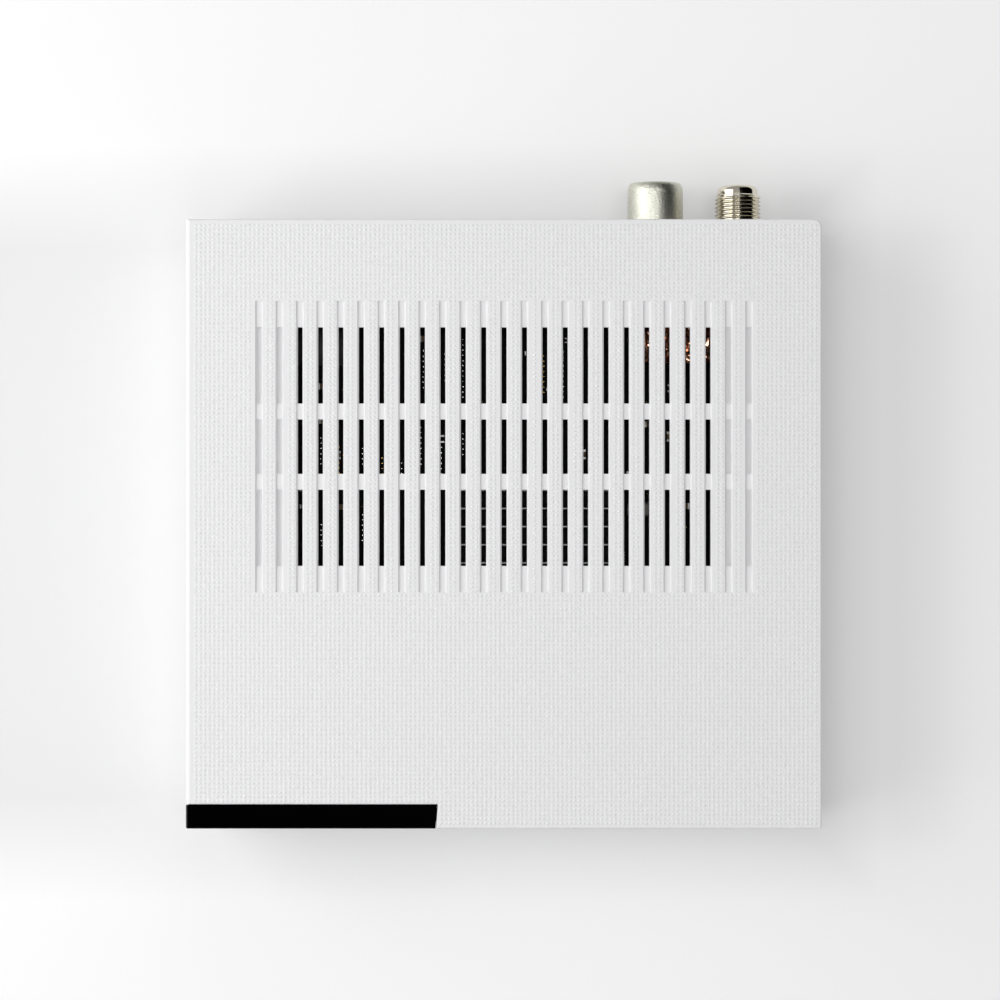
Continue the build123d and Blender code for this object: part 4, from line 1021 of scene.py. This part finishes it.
class SETTOPBOX_OT_f_socket(bpy.types.Operator):
    """Turn the F socket and cut its thread"""
    bl_idname = "settopbox.f_socket"
    bl_label = "F socket"

    def execute(self, context):
        tip, length = socket_axis("f_body")
        bore, bottom = bore_of("f_insulator", tip)
        core = THREAD_CREST - sizes().thread_depth
        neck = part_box("power_jack")[1].y - tip.y
        shoulder = COLLAR_LENGTH - length
        inside = [(0, bottom), (bore, bottom), (bore, 0)]
        nose = arc(F_NOSE_RADIUS - F_NOSE_ROUND, 0, F_NOSE_RADIUS, -F_NOSE_ROUND, steps=6)
        barrel = [(F_NOSE_RADIUS, -F_NOSE_LENGTH), (core, -F_NOSE_LENGTH - F_NOSE_STEP), (core, neck)]
        rear = [(F_NECK_RADIUS, neck), (F_NECK_RADIUS, shoulder)]
        collar = [(F_COLLAR_RADIUS, shoulder), (F_COLLAR_RADIUS, -length), (0, -length)]
        shape = bmesh.new()
        turn(shape, inside + nose + barrel + rear + collar, tip, REARWARD, SOCKET_STEPS)
        self.wind_thread(shape, tip, core, neck, -F_NOSE_LENGTH - THREAD_NOSE_GAP)
        self.thin_thread_end(shape, tip)
        add_piece("threaded_f_body", shape, [bright_nickel_turned()], ["f_body"])
        return {"FINISHED"}

    def wind_thread(self, shape, tip, core, start, end):
        """Winds a V-shaped ridge round the core from the neck to the nose."""
        pitch = sizes().thread_pitch
        foot = pitch * RIDGE_FOOT
        flat = pitch * RIDGE_CREST
        root = core - THREAD_SUNK
        steps = int((end - start) / pitch * THREAD_STEPS)
        before = set(shape.verts)
        verts = []
        for radius, along in ((root, -foot), (THREAD_CREST, -flat), (THREAD_CREST, flat), (root, foot)):
            verts.append(shape.verts.new(tip + RIGHTWARD * radius + REARWARD * (start + along)))
        edges = [shape.edges.new((verts[index - 1], verts[index])) for index in range(len(verts))]
        bmesh.ops.spin(
            shape, geom=verts + edges, cent=tip, axis=REARWARD, dvec=REARWARD * pitch / THREAD_STEPS,
            angle=2 * math.pi * steps / THREAD_STEPS, steps=steps,
        )
        made = [vert for vert in shape.verts if vert not in before]
        rims = {edge for vert in made for edge in vert.link_edges if edge.is_boundary}
        bmesh.ops.holes_fill(shape, edges=list(rims), sides=4)
        faces = list({face for vert in made for face in vert.link_faces})
        bmesh.ops.recalc_face_normals(shape, faces=faces)

    def thin_thread_end(self, shape, tip):
        """Draws the crests in towards the nose, over the lead of the thread."""
        for vert in shape.verts:
            away = vert.co - tip
            around = Vector((away.x, 0, away.z))
            behind = -F_NOSE_LENGTH - away.y
            allowed = F_NOSE_RADIUS + (THREAD_CREST - F_NOSE_RADIUS) * behind / THREAD_LEAD
            if 0 < behind < THREAD_LEAD and around.length > allowed:
                vert.co = tip + REARWARD * away.y + around.normalized() * allowed


# Other rear sockets

# Tongue, piece, contacts in a row, their pitch and width in mm, and the faces that carry a row
CONTACT_ROWS = (
    ("usb_tongue", "usb_contacts", 4, 2.3, 1.0, (-1,)),
    ("hdmi_tongue", "hdmi_contacts", 10, 1.0, 0.5, (-1, 1)),
)
TONGUE_END = 1 * MM
CONTACT_NEAR, CONTACT_FAR = 6.0 * MM, 0.5 * MM
CONTACT_SUNK, CONTACT_PROUD = 0.05 * MM, 0.08 * MM


class SETTOPBOX_OT_rear_sockets(bpy.types.Operator):
    """Finish the power, network, USB, HDMI and optical sockets and add the contacts of two of them"""
    bl_idname = "settopbox.rear_sockets"
    bl_label = "Rear sockets"

    def execute(self, context):
        paint(
            pbt_moulded(), "power_jack", "network_housing", "usb_tongue", "hdmi_tongue", "optical_body",
            "optical_flap", "board_header",
        )
        paint(nickel_plated_sheet(), "network_shield", "usb_shell", "hdmi_shell")
        paint(bright_nickel_turned(), "power_pin")
        gold = gold_flash_contact()
        for node, name, count, pitch, width, sides in CONTACT_ROWS:
            low, high = end_box(node, TONGUE_END)
            middle = (low.x + high.x) / 2
            shape = bmesh.new()
            for side in sides:
                face = high.z if side > 0 else low.z
                skin = sorted((face - side * CONTACT_SUNK, face + side * CONTACT_PROUD))
                for index in range(count):
                    x = middle + (index - (count - 1) / 2) * pitch * MM
                    near = Vector((x - width / 2 * MM, high.y - CONTACT_NEAR, skin[0]))
                    far = Vector((x + width / 2 * MM, high.y - CONTACT_FAR, skin[1]))
                    flat_block(shape, near, far)
            add_piece(name, shape, [gold], smooth=20)
        return {"FINISHED"}


# Front board and what it carries

class SETTOPBOX_OT_front_parts(bpy.types.Operator):
    """Finish the display, the receiver, the status light and the key switch"""
    bl_idname = "settopbox.front_parts"
    bl_label = "Front parts"

    def execute(self, context):
        paint(display_epoxy(), "display")
        paint(tinted_resin("receiver_resin_dark", "#120A12", "#1D121C"), "receiver")
        paint(tinted_resin("status_light_resin_red", "#7A1512", "#A32019"), "status_light")
        paint(nickel_plated_sheet(), "switch_body")
        paint(pbt_moulded(), "switch_plunger")
        return {"FINISHED"}


# Stage, with lengths in metres

# Painted glow on the floor: distances from the case where it starts and where it is full, and its emission
# strength
PAINTED_GLOW_START, PAINTED_GLOW_END = 0.058, 0.08
PAINTED_GLOW_STRENGTH = 0.16
LIT_SIDE_ROOM = 0.052
CARD_RADIUS = 1.6


def add_lamp(name, place, target, size, power):
    """Adds a rectangular lamp that the camera doesn't see, pointing at a target."""
    lamp = bpy.data.lights.new(name, "AREA")
    lamp.shape = "RECTANGLE"
    lamp.size, lamp.size_y = size
    lamp.energy = power
    shown = bpy.data.objects.new(name, lamp)
    bpy.context.scene.collection.objects.link(shown)
    shown.location = place
    shown.rotation_euler = (Vector(target) - Vector(place)).to_track_quat("-Z", "Y").to_euler()
    shown.visible_camera = False


def add_stage_sheet(name, shape, material):
    """Makes a sheet of the stage, which is no part of the object."""
    sheet = add_object(name, shape, [material])
    return sheet


def floor_paper_matt():
    """White matt paper. Away from the case, and further away on the lit left side, a painted glow seen by
    camera, glossy and transmission rays makes it show a little lighter than the light makes it; near the
    case it has no glow."""
    white = colours().floor_white
    paper = surface(
        "floor_paper_matt", shaded(white, 0.99), white, grain=3, rough=(0.9, 1.0), relief=0.01,
        Specular_IOR_Level=0.0, Emission_Color=(1, 1, 1, 1),
    )
    place = paper.node_tree.nodes["place"].outputs["Object"]
    axes = add_node(paper, "ShaderNodeSeparateXYZ", None, {0: place}).outputs
    centred = add_node(
        paper, "ShaderNodeMath", {"operation": "SUBTRACT", 1: CASE_MIDDLE.y}, {0: axes["Y"]},
    )
    endward = add_node(paper, "ShaderNodeMath", {"operation": "ABSOLUTE"}, {0: centred.outputs[0]})
    leftward = add_node(
        paper, "ShaderNodeMath", {"operation": "MULTIPLY_ADD", 1: -1.0, 2: -LIT_SIDE_ROOM}, {0: axes["X"]},
    )
    away = axes["X"]
    for other in (leftward, endward):
        larger = add_node(
            paper, "ShaderNodeMath", {"operation": "MAXIMUM"}, {0: away, 1: other.outputs[0]},
        )
        away = larger.outputs[0]
    # Painted glow: an emission that lifts the floor away from the case and is absent near it
    painted_glow = add_node(
        paper, "ShaderNodeMapRange",
        {"From Min": PAINTED_GLOW_START, "From Max": PAINTED_GLOW_END, "To Min": 0.0, "To Max": PAINTED_GLOW_STRENGTH},
        {0: away},
    )
    rays = add_node(paper, "ShaderNodeLightPath").outputs
    seen = rays["Is Camera Ray"]
    for kind in ("Is Glossy Ray", "Is Transmission Ray"):
        seen = add_node(paper, "ShaderNodeMath", {"operation": "ADD"}, {0: seen, 1: rays[kind]}).outputs[0]
    # The painted glow shows only to camera, glossy and transmission rays
    lift = add_node(
        paper, "ShaderNodeMath", {"operation": "MULTIPLY"}, {0: seen, 1: painted_glow.outputs[0]},
    )
    feed(paper, "Emission Strength", lift.outputs[0])
    return paper


def flag_cloth_black():
    """Black flag cloth: it gives no light back, so the reflections that see it show painted dark
    reflections.
    """
    return surface(
        "flag_cloth_black", "#000000", "#020202",
        grain=5, rough=(0.9, 1.0), relief=0.0, Specular_IOR_Level=0.0,
    )


def add_card(name, material, ends, angles):
    """Adds a card that only reflections see, bent over the object from front to rear ends in metres,
    between two angles in degrees right of straight up."""
    start, stop = [math.radians(angle) for angle in angles]
    card = bmesh.new()
    x, z = CARD_RADIUS * math.sin(start), CARD_RADIUS * math.cos(start)
    verts = [card.verts.new((x, y, z)) for y in ends]
    edge = card.edges.new(verts)
    bmesh.ops.spin(
        card, geom=verts + [edge], cent=(0, 0, 0), axis=REARWARD, angle=stop - start, steps=24,
    )
    shown = add_stage_sheet(name, card, material)
    for ray in ("camera", "diffuse", "shadow", "transmission"):
        setattr(shown, "visible_" + ray, False)


class SETTOPBOX_OT_stage(bpy.types.Operator):
    """Set the pale floor, the soft lamps, the dark cards and the camera straight above"""
    bl_idname = "settopbox.stage"
    bl_label = "Stage"

    def execute(self, context):
        scene = context.scene
        scene.view_settings.view_transform = "Standard"
        floor = bmesh.new()
        bmesh.ops.create_grid(floor, x_segments=1, y_segments=1, size=4.0)
        add_stage_sheet("floor", floor, floor_paper_matt())

        world = bpy.data.worlds.new("soft_studio")
        world.use_nodes = True
        background = world.node_tree.nodes["Background"]
        background.inputs["Color"].default_value = (1, 1, 1, 1)
        background.inputs["Strength"].default_value = 0.38
        scene.world = world
        target = (0, 0, 0.03)
        add_lamp("key_left", (-0.54, 0.03, 0.365), target, size=(0.7, 0.7), power=2.8)
        add_lamp("sparkle_left", (-0.43, 0.03, 0.505), target, size=(0.1, 0.1), power=0.3)
        add_lamp("overhead", (0, 0.02, 1.9), (0, 0.02, 0.03), size=(1.0, 0.3), power=7.8)

        # One card paints a dark reflection into the window in front, the other into the right of the sockets
        # behind
        black = flag_cloth_black()
        add_card("dark_card_front", black, ends=(-2.5, -0.15), angles=(-86, 86))
        add_card("dark_card_right", black, ends=(-0.15, 2.5), angles=(9, 89))

        camera = bpy.data.cameras.new("above")
        camera.sensor_width = 36.0
        camera.lens = 107.09
        camera.clip_start = 0.01
        shown = bpy.data.objects.new("above", camera)
        shown.location = (-0.75 * MM, 0.5 * MM, 630 * MM)
        scene.collection.objects.link(shown)
        scene.camera = shown
        return {"FINISHED"}


OPERATORS = (
    SETTOPBOX_OT_case, SETTOPBOX_OT_feet, SETTOPBOX_OT_screws, SETTOPBOX_OT_main_board, SETTOPBOX_OT_chips,
    SETTOPBOX_OT_heat_sink, SETTOPBOX_OT_capacitors, SETTOPBOX_OT_tuner, SETTOPBOX_OT_aerial_socket,
    SETTOPBOX_OT_f_socket, SETTOPBOX_OT_rear_sockets, SETTOPBOX_OT_front_parts, SETTOPBOX_OT_stage,
)


class SETTOPBOX_PT_panel(bpy.types.Panel):
    """Sizes, colours and pieces of the set-top box"""
    bl_idname = "SETTOPBOX_PT_panel"
    bl_label = "Set-top box"
    bl_space_type = "VIEW_3D"
    bl_region_type = "UI"
    bl_category = "Set-top box"

    def draw(self, context):
        for group in (context.scene.set_top_box_sizes, context.scene.set_top_box_colours):
            for name in group.__annotations__:
                self.layout.prop(group, name)
        for operator in OPERATORS:
            self.layout.operator(operator.bl_idname)


CLASSES = (SetTopBoxSizes, SetTopBoxColours, *OPERATORS, SETTOPBOX_PT_panel)


def register():
    for made in CLASSES:
        bpy.utils.register_class(made)
    bpy.types.Scene.set_top_box_sizes = PointerProperty(type=SetTopBoxSizes)
    bpy.types.Scene.set_top_box_colours = PointerProperty(type=SetTopBoxColours)


def unregister():
    del bpy.types.Scene.set_top_box_colours
    del bpy.types.Scene.set_top_box_sizes
    for made in reversed(CLASSES):
        bpy.utils.unregister_class(made)


def main():
    register()
    bpy.ops.settopbox.case()
    bpy.ops.settopbox.feet()
    bpy.ops.settopbox.screws()
    bpy.ops.settopbox.main_board()
    bpy.ops.settopbox.chips()
    bpy.ops.settopbox.heat_sink()
    bpy.ops.settopbox.capacitors()
    bpy.ops.settopbox.tuner()
    bpy.ops.settopbox.aerial_socket()
    bpy.ops.settopbox.f_socket()
    bpy.ops.settopbox.rear_sockets()
    bpy.ops.settopbox.front_parts()
    bpy.ops.settopbox.stage()


if __name__ == "__main__":
    main()
